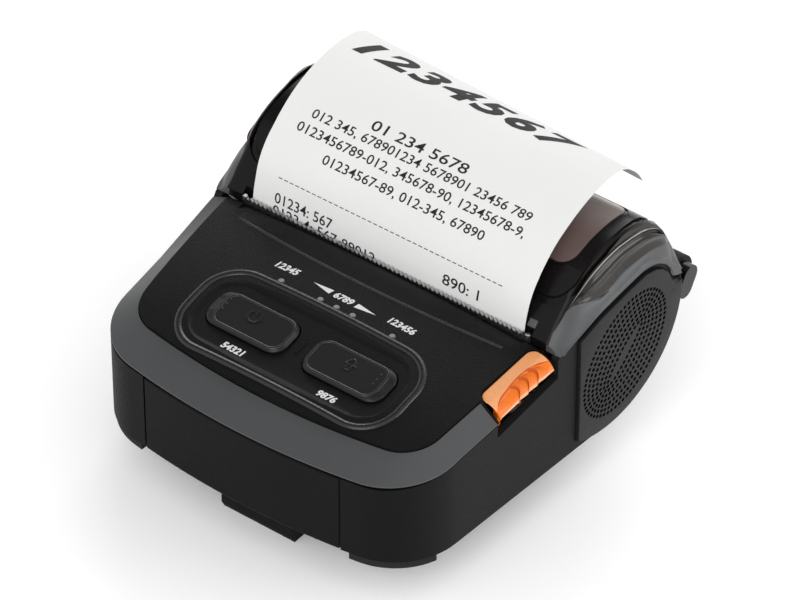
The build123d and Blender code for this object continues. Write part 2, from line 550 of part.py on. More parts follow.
def gear_face(teeth, phase):
    """A spur gear's outline with one tooth centred on the phase angle, in radians."""
    pitch_r = GEAR_MODULE * teeth / 2
    base_r = pitch_r * cos(radians(PRESSURE_ANGLE))
    root_r, tip_r = pitch_r - 1.15 * GEAR_MODULE, pitch_r + 0.85 * GEAR_MODULE
    half_at_pitch = pi / (2 * teeth) - BACKLASH / (4 * pitch_r)
    flank = []
    for r in (root_r, max(base_r, root_r + 0.02), pitch_r, tip_r):
        angle = acos(min(1.0, base_r / r))
        flank.append((r, half_at_pitch + involute(radians(PRESSURE_ANGLE)) - involute(angle)))
    points = []
    for tooth in range(teeth):
        middle = phase + 2 * pi * tooth / teeth
        for r, half in flank:
            points.append((r * cos(middle - half), r * sin(middle - half)))
        for r, half in reversed(flank):
            points.append((r * cos(middle + half), r * sin(middle + half)))
    return outline(points)


def pinion_phase():
    """The pinion's tooth angle that meshes with the idler as the platen sets it."""
    toward = radians(PINION_ANGLE)
    pitch = 2 * pi / IDLER_TEETH
    lead = (IDLER_PHASE - toward + pitch / 2) % pitch - pitch / 2
    shift = -lead * IDLER_TEETH / PINION_TEETH
    return toward + pi + shift + pi / PINION_TEETH


def make_gear(y, z, teeth, phase, bore):
    gear = across(Pos(y, z) * gear_face(teeth, phase), GEAR_X0, GEAR_X1)
    return gear - rod(y, z, bore, GEAR_X0 - 1, GEAR_X1 + 1)


def make_stepper_motor():
    can = rod(PINION_Y, PINION_Z, MOTOR_R, -PLATE_X0, MOTOR_X1)
    return can - rod(PINION_Y, PINION_Z, 0.9, -60, -PLATE_X0 + 6)


def make_motor_pinion():
    shaft = rod(PINION_Y, PINION_Z, 0.8, GEAR_X0, -PLATE_X0 + 5.5)
    return shaft + make_gear(PINION_Y, PINION_Z, PINION_TEETH, pinion_phase(), 0.4)


def make_tear_bar():
    """A steel strip whose upper edge is cut into teeth."""
    strip = block(-SLOT_HALF + 0.3, SLOT_HALF - 0.3, HEAD_Y0, 6.0, HEAD_Z1 + 0.1, TEAR_TOP)
    count = int(2 * (SLOT_HALF - 1.0) / TEAR_PITCH)
    points = [(-SLOT_HALF, TEAR_TOP + 1)]
    for i in range(count):
        x = (i - (count - 1) / 2) * TEAR_PITCH
        points += [(x - TEAR_PITCH / 2, TEAR_TOP + 0.01), (x, TEAR_TOP - TEAR_DEPTH)]
    points += [(x + TEAR_PITCH / 2, TEAR_TOP + 0.01), (SLOT_HALF, TEAR_TOP + 1)]
    return strip - extrude(Plane.XZ.offset(-7) * outline(points), 3)


def make_heatsink():
    sink = block(-HEAD_HALF, HEAD_HALF, 3.9, HEAD_Y0, HEAD_Z0 - 0.3, 41.8)
    for i in range(21):
        x = -38.0 + 3.8 * i
        sink += block(x - 0.5, x + 0.5, 2.6, 4.0, HEAD_Z0 - 0.3, 41.8)
    return sink


def coil(radius, wire, height, turns, steps):
    """A square-wire coil that rises along Z from the origin, with a number of straight steps to each turn."""
    sections = []
    for i in range(int(turns * steps) + 1):
        angle = 2 * pi * i / steps
        outward = (cos(angle), sin(angle), 0)
        origin = (radius * cos(angle), radius * sin(angle), height * i / (turns * steps))
        along = (-sin(angle), cos(angle), 0)
        sections.append(Plane(origin=origin, x_dir=outward, z_dir=along) * Rectangle(wire, wire))
    return loft(sections, ruled=True)


def make_head_springs():
    springs = [Pos(x, 0.55, 38.3) * Rot(-90, 0, 0) * coil(1.6, 0.45, 1.7, 2.5, 10) for x in (-20, 20)]
    return springs[0] + springs[1]


def make_roll_tub():
    """The round bucket that the paper roll lies in, with its two cheeks."""
    ring = Pos(TUB_Y, TUB_Z) * (Circle(BUCKET_R) - Circle(BUCKET_R - BUCKET_WALL))
    ring &= outline([(8.6, 0), (60, 0), (60, 40.6), (30, 40.6), (30, 36), (8.6, 36)])
    front = outline([(8.0, 19.2), (5.9, 34.5), (7.4, 34.5), (9.5, 20.6), (9.2, 18.4)])
    disc = Pos(TUB_Y, TUB_Z) * Circle(BUCKET_R)
    cheek = outline([(8.0, 0), (60, 0), (60, 43.8), (20, 43.8), (16, 34.5), (6.0, 34.5), (8.0, 19.2)]) & disc
    tub = across(ring + front, -BUCKET_HALF, BUCKET_HALF) + both_sides(cheek + front, CHEEK_X0, BUCKET_HALF)
    return tub - rod(HINGE_Y, HINGE_Z, RELIEF_R, -60, 60)


def make_paper_roll():
    return rod(ROLL_Y, ROLL_Z, ROLL_R, -PAPER_HALF, PAPER_HALF) - rod(ROLL_Y, ROLL_Z, CORE_R, -60, 60)


def make_roll_core():
    half = PAPER_HALF
    return rod(ROLL_Y, ROLL_Z, CORE_R, -half, half) - rod(ROLL_Y, ROLL_Z, CORE_BORE_R, -60, 60)


def make_paper_tongue():
    """The printed end, whose left edge stands a little higher than its right edge."""
    left = Plane.YZ.offset(-PAPER_HALF) * ribbon(smooth(TONGUE_LEFT, 20), SHEET)
    right = Plane.YZ.offset(PAPER_HALF) * ribbon(smooth(TONGUE_RIGHT, 20), SHEET)
    return loft([left, right], ruled=True)


def make_latch():
    """The latch shaft with its two hooks and the lever under the release button."""
    hook = outline([(1.6, 34.6), (5.9, 37.6), (6.6, 41.7), (9.4, 41.7), (9.4, 40.6), (8.2, 40.2), (8.0, 36.4),
                    (3.6, 31.4)])
    hook += Pos(LATCH_Y, LATCH_Z) * Circle(2.0)
    latch = both_sides(hook, HOOK_X0, HOOK_X1) + rod(LATCH_Y, LATCH_Z, LATCH_R, -PLATE_X1, LEVER_X1)
    lever = outline([(LEVER_Y - 1.0, LATCH_Z - 0.6), (LEVER_Y - 1.0, LATCH_Z + 0.9), (LATCH_Y, LATCH_Z + 1.6),
                     (LATCH_Y, LATCH_Z - 1.6)])
    lever += Pos(LATCH_Y, LATCH_Z) * Circle(1.8)
    return latch + across(lever, LEVER_X0, LEVER_X1)


def make_release_button():
    """The sliding button: a sloped shell with three chevron ribs and a leg over the latch lever."""
    shell = button_bar(BUTTON_SECTION) & extrude(Pos(0, 0, 25) * button_plan(), 35)
    for i in range(3):
        y = -8.6 + 3.7 * i
        rib = [(46.0, 43.2), (47.0, 44.35), (49.1, 43.0), (50.1, 41.0), (49.3, 41.0), (48.0, 42.4)]
        shell += button_bar(rib) & chevron(y) & block(40, 60, BUTTON_Y0, BUTTON_Y1, 30, 60)
    shell += block(LEVER_X0, LEG_X1, LEVER_Y - 0.5, LEVER_Y + 0.6, LATCH_Z + 0.96, 42.2)
    return shell


def chevron(y):
    """A V-shaped upright wall, seen from above, for one rib of the release button."""
    return extrude(Pos(0, 0, 30) * outline([(45.9, y), (48.4, y + 1.2), (52.0, y - 0.8), (52.0, y + 1.3),
                                            (48.4, y + 3.2), (45.9, y + 1.4)]), 30)


def bar_face():
    """The rear bar's oval section."""
    oval = RectangleRounded(BAR_LONG, BAR_SHORT, BAR_SHORT / 2 - 0.01)
    return Pos(BAR_Y, BAR_Z) * Rot(0, 0, BAR_TILT) * oval


def make_rear_bar():
    """The oval bar behind the case, round where the belt clip turns on it."""
    bar = across(bar_face(), -BAR_HALF, BAR_HALF)
    bar -= pair(JOURNAL_X0, JOURNAL_X1, 40, 70, 20, 50)
    journal = rod(BAR_Y, BAR_Z, JOURNAL_R, JOURNAL_X0 - 0.1, JOURNAL_X1 + 0.1)
    return bar + journal + rod(BAR_Y, BAR_Z, JOURNAL_R, -JOURNAL_X1 - 0.1, -JOURNAL_X0 + 0.1)


def make_belt_clip():
    """A broad hook whose plate lies under the case and whose knuckles turn on the rear bar."""
    disc = Circle(CLIP_ARC_R + CLIP_THICK / 2) - Circle(CLIP_ARC_R - CLIP_THICK / 2)
    quarter = outline([(CLIP_ARC_Y, 0), (60, 0), (60, CLIP_ARC_Z), (CLIP_ARC_Y, CLIP_ARC_Z)])
    arc = (Pos(CLIP_ARC_Y, CLIP_ARC_Z) * disc) & quarter
    plate = outline([(CLIP_NOSE_Y + 1, 0), (CLIP_ARC_Y, 0), (CLIP_ARC_Y, CLIP_THICK), (-38.6, CLIP_THICK),
                     (-39.4, CLIP_NOSE_Z - 0.8), (-41, CLIP_NOSE_Z), (CLIP_NOSE_Y + 0.3, CLIP_NOSE_Z - 0.8),
                     (CLIP_NOSE_Y, 2.0)])
    side = plate + arc
    strip = across(side, -CLIP_HALF, CLIP_HALF)
    nose = CLIP_NOSE_HALF
    plan = outline([(-nose, -60), (nose, -60), (nose, -38.4), (CLIP_HALF, -20), (CLIP_HALF, 62),
                    (-CLIP_HALF, 62), (-CLIP_HALF, -20), (-nose, -38.4)])
    strip &= extrude(plan, 60)
    strip -= block(-CLIP_KNUCKLE_X0, CLIP_KNUCKLE_X0, 40, 62, 29.8, 60)
    knuckle = Pos(BAR_Y, BAR_Z) * Circle(CLIP_KNUCKLE_R)
    strip += both_sides(knuckle, CLIP_KNUCKLE_X0, CLIP_HALF)
    return strip - rod(BAR_Y, BAR_Z, JOURNAL_R + FIT, -60, 60)


def make_clip_springs():
    springs = []
    for side in (-1, 1):
        start = side * JOURNAL_X0 + (0.4 if side > 0 else -5.6)
        springs.append(Pos(start, BAR_Y, BAR_Z) * Rot(0, 90, 0) * coil(3.35, 0.6, 5.2, 4, 12))
    return springs[0] + springs[1]


def make_battery_pack():
    pack = pack_space() & plan_prism() & block(-60, 60, -60, 60, BASE_Z, 60)
    half = PACK_HALF - RAIL_DEPTH
    pack -= pair(half, 60, -45.0 - GAP, PACK_REAR_Y + 1, RAIL_Z0 - GAP, RAIL_Z1 + GAP)
    pack -= block(-10.5, 10.5, PACK_REAR_Y - 0.8, PACK_REAR_Y + 1, CONTACT_Z0, CONTACT_Z1)
    return pack


def make_battery_terminals():
    pads = [block(x - 1, x + 1, PACK_REAR_Y - 0.8, PACK_REAR_Y - 0.4, CONTACT_Z0 + 0.5, CONTACT_Z1 - 0.5)
            for x in CONTACT_X]
    return pads[0] + pads[1:]


def make_battery_contacts():
    contacts = block(-11, 11, -12.5, -11.2, CONTACT_Z0 - 1, CONTACT_Z1 + 1)
    for x in CONTACT_X:
        contacts += block(x - 1, x + 1, PACK_REAR_Y + 0.1, -12.4, CONTACT_Z0, CONTACT_Z1)
    return contacts


def make_port_cover():
    return port_blank(0.0, PORT_THICK)


def make_front_feet():
    band = plan_prism(-0.5, FOOT_Z, BASE_Z) - plan_prism(-6.5, FOOT_Z - 1, BASE_Z + 1)
    return band & pair(30.5, 60, -60, -35.5, 0, 20)


def make_rear_feet():
    return post(38, 18, 4.5, FOOT_Z, BASE_Z) + post(-38, 18, 4.5, FOOT_Z, BASE_Z)


def make_case_screws():
    screws = []
    for x, y in SCREWS:
        for side in (-1, 1):
            screw = post(side * x, y, 2.2, 12.6, 13.8) + post(side * x, y, 1.2, 13.8, 16.2)
            screw -= block(side * x - 1.3, side * x + 1.3, y - 0.3, y + 0.3, 12, 13.2)
            screw -= block(side * x - 0.3, side * x + 0.3, y - 1.3, y + 1.3, 12, 13.2)
            screws.append(screw)
    return screws[0] + screws[1:]


def make_parts():
    """Every node of the printer by its name."""
    frame, trims, window = make_lid_parts()
    right = block(0, 60, -60, 60, 0, 90)
    platen_shaft = rod(PLATEN_Y, PLATEN_Z, SHAFT_R, GEAR_X0, 45.9)
    rubber = rod(PLATEN_Y, PLATEN_Z, PLATEN_R, -RUBBER_HALF, RUBBER_HALF) - platen_shaft
    bushes = both_sides(Pos(PLATEN_Y, PLATEN_Z) * Circle(BUSH_R), ARM_X0 - 0.2, ARM_X1 + 0.1)
    jack = rod(JACK_Y, JACK_Z, 3.2, -46.8, -37.0) - rod(JACK_Y, JACK_Z, 2.2, -60, -39.0)
    usb = block(-46.8, -38.0, USB_Y - 4.4, USB_Y + 4.4, USB_Z - 1.7, USB_Z + 1.7)
    usb -= block(-60, -40.0, USB_Y - 3.9, USB_Y + 3.9, USB_Z - 1.3, USB_Z + 1.3)
    return {
        "lower_case": make_lower_case(),
        "side_cover_right": make_side_cover(1),
        "side_cover_left": make_side_cover(-1),
        "front_bezel": make_bezel(),
        "control_panel": make_control_panel(),
        "power_button": make_key(-KEY_X),
        "feed_button": make_key(KEY_X),
        "status_lights": make_status_lights(),
        "main_board": make_main_board(),
        "power_switch": make_key_switch(-KEY_X),
        "feed_switch": make_key_switch(KEY_X),
        "battery_pack": make_battery_pack(),
        "battery_terminals": make_battery_terminals(),
        "battery_contacts": make_battery_contacts(),
        "release_button": make_release_button(),
        "release_spring": Pos(47.05, 1.05, 33.2) * coil(0.75, 0.35, 7.2, 6, 8),
        "latch_hooks": make_latch(),
        "roll_tub": make_roll_tub(),
        "paper_roll": make_paper_roll(),
        "roll_core": make_roll_core(),
        "paper_web": across(ribbon(WEB_PATH, SHEET), -PAPER_HALF, PAPER_HALF),
        "paper_tongue": make_paper_tongue(),
        "mechanism_frame": make_mechanism_frame(),
        "print_head": block(-HEAD_HALF, HEAD_HALF, HEAD_Y0, HEAD_Y1, HEAD_Z0, HEAD_Z1),
        "head_heatsink": make_heatsink(),
        "head_springs": make_head_springs(),
        "tear_bar": make_tear_bar(),
        "platen_shaft": platen_shaft,
        "platen_rubber": rubber,
        "platen_bushes": bushes - rod(PLATEN_Y, PLATEN_Z, SHAFT_R + FIT, -60, 60),
        "platen_gear": make_gear(PLATEN_Y, PLATEN_Z, PLATEN_TEETH, radians(IDLER_ANGLE), SHAFT_R),
        "idler_gear": make_gear(IDLER_Y, IDLER_Z, IDLER_TEETH, IDLER_PHASE, 1.0 + FIT),
        "idler_axle": rod(IDLER_Y, IDLER_Z, 1.0, GEAR_X0 - 0.1, -PLATE_X0),
        "motor_pinion": make_motor_pinion(),
        "stepper_motor": make_stepper_motor(),
        "lid_frame": frame,
        "lid_window": window,
        "lid_trim_right": trims & right,
        "lid_trim_left": trims - right,
        "hinge_pin": rod(HINGE_Y, HINGE_Z, PIN_R, -BASE_KNUCKLES[1], BASE_KNUCKLES[1]),
        "rear_bar": make_rear_bar(),
        "belt_clip": make_belt_clip(),
        "clip_springs": make_clip_springs(),
        "dc_jack": jack,
        "usb_port": usb,
        "port_cover": make_port_cover(),
        "front_feet": make_front_feet(),
        "rear_feet": make_rear_feet(),
        "case_screws": make_case_screws(),
    }


if __name__ == "__main__":
    os.makedirs("parts", exist_ok=True)
    for name, shape in make_parts().items():
        export_step(shape, f"parts/{name}.step")
        print(name, len(shape.solids()), round(shape.volume, 1), shape.is_valid)
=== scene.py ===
"""Dresses the portable receipt printer: moulded shells, keys, roll cover, receipt and studio.

Lengths in the dataclass fields are millimetres in the printer's own frame, with X to the right, Y to the
rear hinge and Z up from the surface that it stands on. The lights and the floor say where theirs are metres.
"""

from __future__ import annotations

import json
import logging
import math
from dataclasses import dataclass, field
from enum import Enum
from typing import Any, Callable, Iterable, Sequence

import bmesh
import bpy
from mathutils import Matrix, Vector
from mathutils.bvhtree import BVHTree

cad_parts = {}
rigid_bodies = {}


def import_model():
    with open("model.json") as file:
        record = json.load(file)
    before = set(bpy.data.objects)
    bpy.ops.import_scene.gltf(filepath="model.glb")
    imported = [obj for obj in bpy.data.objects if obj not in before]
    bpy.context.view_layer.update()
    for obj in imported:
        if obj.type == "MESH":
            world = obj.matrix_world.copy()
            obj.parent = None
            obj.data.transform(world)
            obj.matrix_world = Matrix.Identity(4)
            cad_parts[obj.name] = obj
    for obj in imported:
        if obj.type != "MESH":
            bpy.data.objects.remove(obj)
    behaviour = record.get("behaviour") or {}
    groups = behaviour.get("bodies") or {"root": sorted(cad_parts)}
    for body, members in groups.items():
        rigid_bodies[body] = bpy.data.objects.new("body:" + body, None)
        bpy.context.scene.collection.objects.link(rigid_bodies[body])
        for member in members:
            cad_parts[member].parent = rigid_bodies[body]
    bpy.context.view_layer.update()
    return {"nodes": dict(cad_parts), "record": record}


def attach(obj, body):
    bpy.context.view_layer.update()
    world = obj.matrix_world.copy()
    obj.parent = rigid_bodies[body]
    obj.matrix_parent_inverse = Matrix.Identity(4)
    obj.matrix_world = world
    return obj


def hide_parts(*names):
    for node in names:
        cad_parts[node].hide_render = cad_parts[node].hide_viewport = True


log = logging.getLogger("printer")

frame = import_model()

MM = 0.001
Point = tuple[float, float, float]
Place = tuple[float, float]
Profile = tuple[Place, ...]
# What a line of print says, its width, and its middle along two directions, in millimetres.
Word = tuple[str, float, float, float]
# A line on a key and whether it is closed.
Line = tuple[list[Place], bool]

# The spacing in millimetres of the broad mottle in a moulded colour.
MOTTLE_MM = 14.0
# The roughness of a clear top layer, and how far a polished and a grained surface vary about their mean.
COAT_ROUGHNESS, POLISHED_SPREAD, GRAIN_SPREAD = 0.15, 0.04, 0.10
# The range that holds nearly all of a noise texture's values.
NOISE_RANGE = (0.3, 0.7)
# A raised bead's section: the share of its half width and of its height.
BEAD_SECTION = ((-1.0, -0.15), (-0.75, 0.75), (0.0, 1.0), (0.75, 0.75), (1.0, -0.15))
# The type size that gives numerals one unit high.
TYPE_SIZE = 1.37
# The millimetres between the cuts that let a print follow a curve, along and across it.
CUT_ALONG, CUT_ACROSS = 0.8, 4.0
# How near two CAD points are to be one, in millimetres, and how flat an edge is to be joined, in degrees.
MERGE_MM, FLAT_DEGREES = 0.002, 0.1
# The angle in degrees above which a moulded edge is shaded sharp, and the one above which it is rounded.
SHARP_DEGREES, ROUND_DEGREES = 34.0, 32.0


def linear(hex_colour: str) -> tuple[float, float, float, float]:
    """Turns an sRGB hex colour into linear light.

    Args:
        hex_colour: Six hex digits after a hash sign.

    Returns:
        Linear red, green, blue and an alpha of one.
    """
    values = [int(hex_colour[i : i + 2], 16) / 255 for i in (1, 3, 5)]
    light = [v / 12.92 if v <= 0.04045 else ((v + 0.055) / 1.055) ** 2.4 for v in values]
    return (light[0], light[1], light[2], 1.0)


def add_node(
    tree: bpy.types.NodeTree, kind: str, sockets: dict[str | int, Any] | None = None, **settings: Any
) -> Any:
    """Adds one shader node with its settings, values and links.

    Args:
        tree: The material's node tree.
        kind: The node's type name.
        sockets: Input name or index to a value, or to the output that feeds it.
        **settings: Properties of the node itself.

    Returns:
        The new node.
    """
    node = tree.nodes.new(kind)
    for name, value in settings.items():
        setattr(node, name, value)
    for name, value in (sockets or {}).items():
        if isinstance(value, bpy.types.NodeSocket):
            tree.links.new(value, node.inputs[name])
        else:
            node.inputs[name].default_value = value
    return node


def map_range(
    tree: bpy.types.NodeTree, value: bpy.types.NodeSocket, ends: tuple[float, float], to: tuple[float, float],
    kind: str = "LINEAR",
) -> bpy.types.NodeSocket:
    """Adds a node that turns one range of values into another.

    Args:
        tree: The material's or the world's node tree.
        value: The output that it reads.
        ends: The range's start and end.
        to: What the start and the end become.
        kind: LINEAR, or SMOOTHSTEP for a soft start and end.

    Returns:
        The output with the result.
    """
    sockets = {"Value": value, "From Min": ends[0], "From Max": ends[1], "To Min": to[0], "To Max": to[1]}
    return add_node(tree, "ShaderNodeMapRange", sockets, interpolation_type=kind).outputs["Result"]


def new_object(name: str, data: bpy.types.ID) -> bpy.types.Object:
    """Makes an object and puts it in the scene.

    Args:
        name: Its name.
        data: Its mesh, curve, light or camera.

    Returns:
        The new object.
    """
    made = bpy.data.objects.new(name, data)
    bpy.context.scene.collection.objects.link(made)
    return made


class Grain(Enum):
    """How a surface was textured when it was made."""

    SPARK_ERODED = "spark eroded"
    FLAKE = "metal flake"
    DRAWN = "drawn"
    FIBRE = "fibre"
    POLISHED = "polished"


@dataclass(frozen=True)
class Finish:
    """One real material and the way its surface was made.

    Attributes:
        name: The material's common name.
        colour: Its sRGB colour.
        mottle_and_painted_light_colour: The colour that it varies towards: at random, and as painted light
            along Y where a run is given.
        roughness: Its mean roughness.
        grain: The kind of surface texture.
        grain_mm: The texture's real spacing, drawn coarser where it is too fine to show.
        relief: How strongly the texture lifts the surface.
        metallic: One for bare metal.
        coat: The weight of a clear top layer.
        see_through: The share of light that passes.
        stretch: How far the texture is drawn out along X.
        ior: The index of refraction of a non-metal.
        gleam: The strength of its mirror reflection: 0.5 if clean and less if dusty or grained.
        painted_light_run: Where along Y the colour turns to the second one as painted light, start and end,
            or None for a random tone.
    """

    name: str
    colour: str
    mottle_and_painted_light_colour: str
    roughness: float
    grain: Grain = Grain.SPARK_ERODED
    grain_mm: float = 0.4
    relief: float = 0.1
    metallic: float = 0.0
    coat: float = 0.0
    see_through: float = 0.0
    stretch: float = 1.0
    ior: float = 1.5
    gleam: float = 0.5
    painted_light_run: tuple[float, float] | None = None

    def material(self) -> bpy.types.Material:
        """Builds the material the first time that it is asked for.

        Returns:
            The material, which every piece with this finish shares.
        """
        made = bpy.data.materials.get(self.name)
        if made is not None:
            return made
        made = bpy.data.materials.new(self.name)
        made.use_nodes = True
        tree = made.node_tree
        shader = tree.nodes["Principled BSDF"]
        shader.inputs["Metallic"].default_value = self.metallic
        shader.inputs["Coat Weight"].default_value = self.coat
        shader.inputs["Coat Roughness"].default_value = COAT_ROUGHNESS
        shader.inputs["Transmission Weight"].default_value = self.see_through
        shader.inputs["IOR"].default_value = self.ior
        shader.inputs["Specular IOR Level"].default_value = self.gleam
        place = add_node(tree, "ShaderNodeTexCoord")
        turned = add_node(
            tree,
            "ShaderNodeMapping",
            {"Vector": place.outputs["Object"], "Scale": (1.0 / self.stretch, 1.0, 1.0)},
        )
        fine = add_node(
            tree,
            "ShaderNodeTexNoise",
            {
                "Vector": turned.outputs["Vector"],
                "Scale": 1.0 / (self.grain_mm * MM),
                "Detail": 3.0,
                "Roughness": 0.6,
            },
        )
        broad = add_node(
            tree,
            "ShaderNodeTexNoise",
            {"Vector": turned.outputs["Vector"], "Scale": 1.0 / (MOTTLE_MM * MM), "Detail": 4.0},
        )
        mottle_and_painted_light_share = broad.outputs["Fac"]
        # With a run along Y, the colour follows it as painted light and does not vary at random.
        if self.painted_light_run:
            parts = add_node(tree, "ShaderNodeSeparateXYZ", {"Vector": place.outputs["Object"]})
            ends = (self.painted_light_run[0] * MM, self.painted_light_run[1] * MM)
            mottle_and_painted_light_share = map_range(tree, parts.outputs["Y"], ends, (0.0, 1.0), "SMOOTHSTEP")
        # A Mix node's sockets 6 and 7 are its two colours.
        colours = {"Factor": mottle_and_painted_light_share, 6: linear(self.colour), 7: linear(self.mottle_and_painted_light_colour)}
        shade = add_node(tree, "ShaderNodeMix", colours, data_type="RGBA")
        tree.links.new(shade.outputs[2], shader.inputs["Base Color"])
        spread = POLISHED_SPREAD if self.grain is Grain.POLISHED else GRAIN_SPREAD
        to = (max(0.02, self.roughness - spread), self.roughness + spread)
        rough = map_range(tree, fine.outputs["Fac"], NOISE_RANGE, to)
        tree.links.new(rough, shader.inputs["Roughness"])
        bump = add_node(
            tree,
            "ShaderNodeBump",
            {"Height": fine.outputs["Fac"], "Strength": self.relief, "Distance": self.grain_mm * MM * 0.5},
        )
        tree.links.new(bump.outputs["Normal"], shader.inputs["Normal"])
        return made


# Glass-filled ABS, spark-eroded in the mould: a dry near-black that scatters a soft highlight.
CASE_ABS = Finish("moulded_abs_case", "#0f0f10", "#131314", 0.55, grain_mm=0.35, relief=0.22, gleam=0.07)
# The same case, painted lighter towards the rear: painted light on its better-lit sides, up to the side
# covers' grey.
SHELL_ABS = Finish(
    "moulded_abs_shell", "#0f0f10", "#1d1d1e", 0.55, grain_mm=0.35, relief=0.22, gleam=0.08,
    painted_light_run=(-47.0, -22.0),
)
# The same ABS with a finer spark finish on the side covers, a little lighter.
SIDE_ABS = Finish("moulded_abs_side", "#18181a", "#1b1b1c", 0.46, grain_mm=0.30, relief=0.12, gleam=0.20)
# ABS under a satin gunmetal paint: a smooth broad sheen with no grain to speak of.
BEZEL_PAINT = Finish(
    "gunmetal_paint_on_abs", "#444546", "#4b4c4d", 0.40, Grain.FLAKE, 0.15, 0.03, metallic=0.2, gleam=0.4
)
# ABS with a leather-like satin grain, nearly black, that catches small sparks of light.
PANEL_ABS = Finish("satin_abs_panel", "#0b0b0c", "#0e0e0f", 0.42, grain_mm=0.45, relief=0.35, gleam=0.14)
# The keys' ABS, smoother than the panel round them.
KEY_ABS = Finish("satin_abs_key", "#121213", "#161617", 0.32, Grain.POLISHED, 0.40, 0.03, gleam=0.30)
# The panel's beads, the keys' shoulders and their marks, rubbed smoother than what lies round them.
BEAD_ABS = Finish("rubbed_abs_bead", "#0c0c0d", "#101011", 0.26, grain_mm=0.45, relief=0.10, gleam=0.55)
# Acetal dyed orange through and through, moulded with a fine satin.
ORANGE_ACETAL = Finish("orange_acetal", "#de6a0c", "#e47214", 0.30, grain_mm=0.30, relief=0.05, gleam=0.35)
# Painted sheen: the button's ledge and lip, coloured a paler orange where their gloss catches the light.
PAINTED_SHEEN_ACETAL = Finish(
    "orange_acetal_painted_sheen", "#e2975d", "#e6a06a", 0.30, grain_mm=0.30, relief=0.04, gleam=0.6
)
# Painted shade: the same acetal coloured a deeper orange on the ribs' fronts and along the scoop's crease,
# where shade falls.
PAINTED_SHADE_ACETAL = Finish("orange_acetal_painted_shade", "#b4490a", "#bd520e", 0.40, grain_mm=0.30, relief=0.04, gleam=0.3)
# Thermal paper: a smooth bright white coating over fine fibre.
THERMAL_PAPER = Finish("thermal_paper", "#e4e4e3", "#e0e0df", 0.60, Grain.FIBRE, 0.25, 0.05, gleam=0.3)
# The black that a thermal head leaves in the coating.
THERMAL_BLACK = Finish("thermal_print", "#1c1b1d", "#242226", 0.60, Grain.FIBRE, 0.25, 0.02, gleam=0.3)
# Smoked polycarbonate: a clear brown-black with a hard polish, painted paler over the crown as a painted
# reflection of the bright room that it mirrors.
SMOKED_PC = Finish(
    "smoked_polycarbonate", "#705c58", "#978c88", 0.16, Grain.POLISHED, 0.8, 0.01,
    see_through=0.22, ior=1.585, painted_light_run=(27.0, 40.0),
)
# The cover's frame: gloss black with a hard polish, deeper than the dry black of the case.
LID_ABS = Finish("gloss_black_abs", "#0e0c0c", "#120f0f", 0.24, Grain.POLISHED, 0.8, 0.02, gleam=0.16)
# The cover's ridged flanks, where the smoked plastic is thin and its brown shows.
STRIP_PC = Finish("smoked_strip", "#1a1512", "#221c19", 0.20, Grain.POLISHED, 0.8, 0.01, gleam=0.42)
# The crest of the cover's first ridge: glossier, with a pale colour that is a painted highlight drawing a
# bright line.
CREST_HIGHLIGHT_PC = Finish("smoked_crest_painted_highlight", "#7d7875", "#8d8885", 0.18, Grain.POLISHED, 0.8, 0.01, gleam=1.0)
# Polished black ABS of the rear bar, handled until it shines.
BAR_ABS = Finish("polished_black_abs", "#0c0c0c", "#101010", 0.22, Grain.POLISHED, 0.8, 0.02, gleam=0.25)
# Painted trim, a shade lighter than the bezel's gunmetal.
TRIM_PAINT = Finish(
    "light_gunmetal_paint", "#48494a", "#4f5051", 0.40, Grain.FLAKE, 0.15, 0.03, metallic=0.2, gleam=0.36
)
# White pad printing, a little rough at its edges.
PAD_PRINT = Finish("white_pad_print", "#d9d9d8", "#cfcfce", 0.55, grain_mm=0.2, relief=0.05)
# Rolled stainless strip: bright along the rolling and soft across it.
STAINLESS = Finish(
    "rolled_stainless", "#b9babb", "#a9aaab", 0.30, Grain.DRAWN, 0.2, 0.05, metallic=1.0, stretch=8.0
)
# Ground and hardened steel shafts and springs.
GROUND_STEEL = Finish(
    "ground_steel", "#9a9b9c", "#88898a", 0.28, Grain.DRAWN, 0.2, 0.05, metallic=1.0, stretch=0.2
)
# Milled aluminium of the heat sink, with the cutter's fine lines along it.
MILLED_ALUMINIUM = Finish(
    "milled_aluminium", "#c4c6c8", "#b6b8ba", 0.38, Grain.DRAWN, 0.3, 0.06, metallic=1.0, stretch=6.0
)
# Brass, tarnished a little.
BRASS = Finish("brass", "#b5904a", "#a37f3e", 0.32, Grain.DRAWN, 0.25, 0.04, metallic=1.0)
# Silicone rubber sleeve and feet: matt, dark and slightly dusty.
SILICONE = Finish("silicone_rubber", "#161616", "#1e1e1e", 0.78, grain_mm=0.3, relief=0.12, gleam=0.25)
# Unfilled nylon gears, waxy and off-white.
NYLON = Finish("nylon", "#d6d4ca", "#cbc9be", 0.42, grain_mm=0.5, relief=0.03)
# Kraft board of the roll's core, with loose fibres in it.
KRAFT_BOARD = Finish("kraft_board", "#a58460", "#967653", 0.80, Grain.FIBRE, 0.5, 0.20)
# Glazed alumina of the print head, with a hard brown shine.
GLAZED_ALUMINA = Finish("glazed_alumina", "#5a4a3c", "#63523f", 0.12, Grain.POLISHED, 0.6, 0.01)
# Green solder resist over glass laminate.
SOLDER_RESIST = Finish("solder_resist", "#14503a", "#1a5a42", 0.38, grain_mm=0.6, relief=0.05)
# A smoked clear lens over an unlit light, a little lighter than the panel.
LENS = Finish("smoked_clear_lens", "#3c3d3e", "#343536", 0.22, Grain.POLISHED, 0.6, 0.02, coat=0.3)
# Painted shade: the plastic inside a deep hole, coloured near-black because no light reaches it.
SHADOW_ABS = Finish("unlit_abs", "#060606", "#080808", 0.8, grain_mm=0.4, relief=0.05, gleam=0.1)

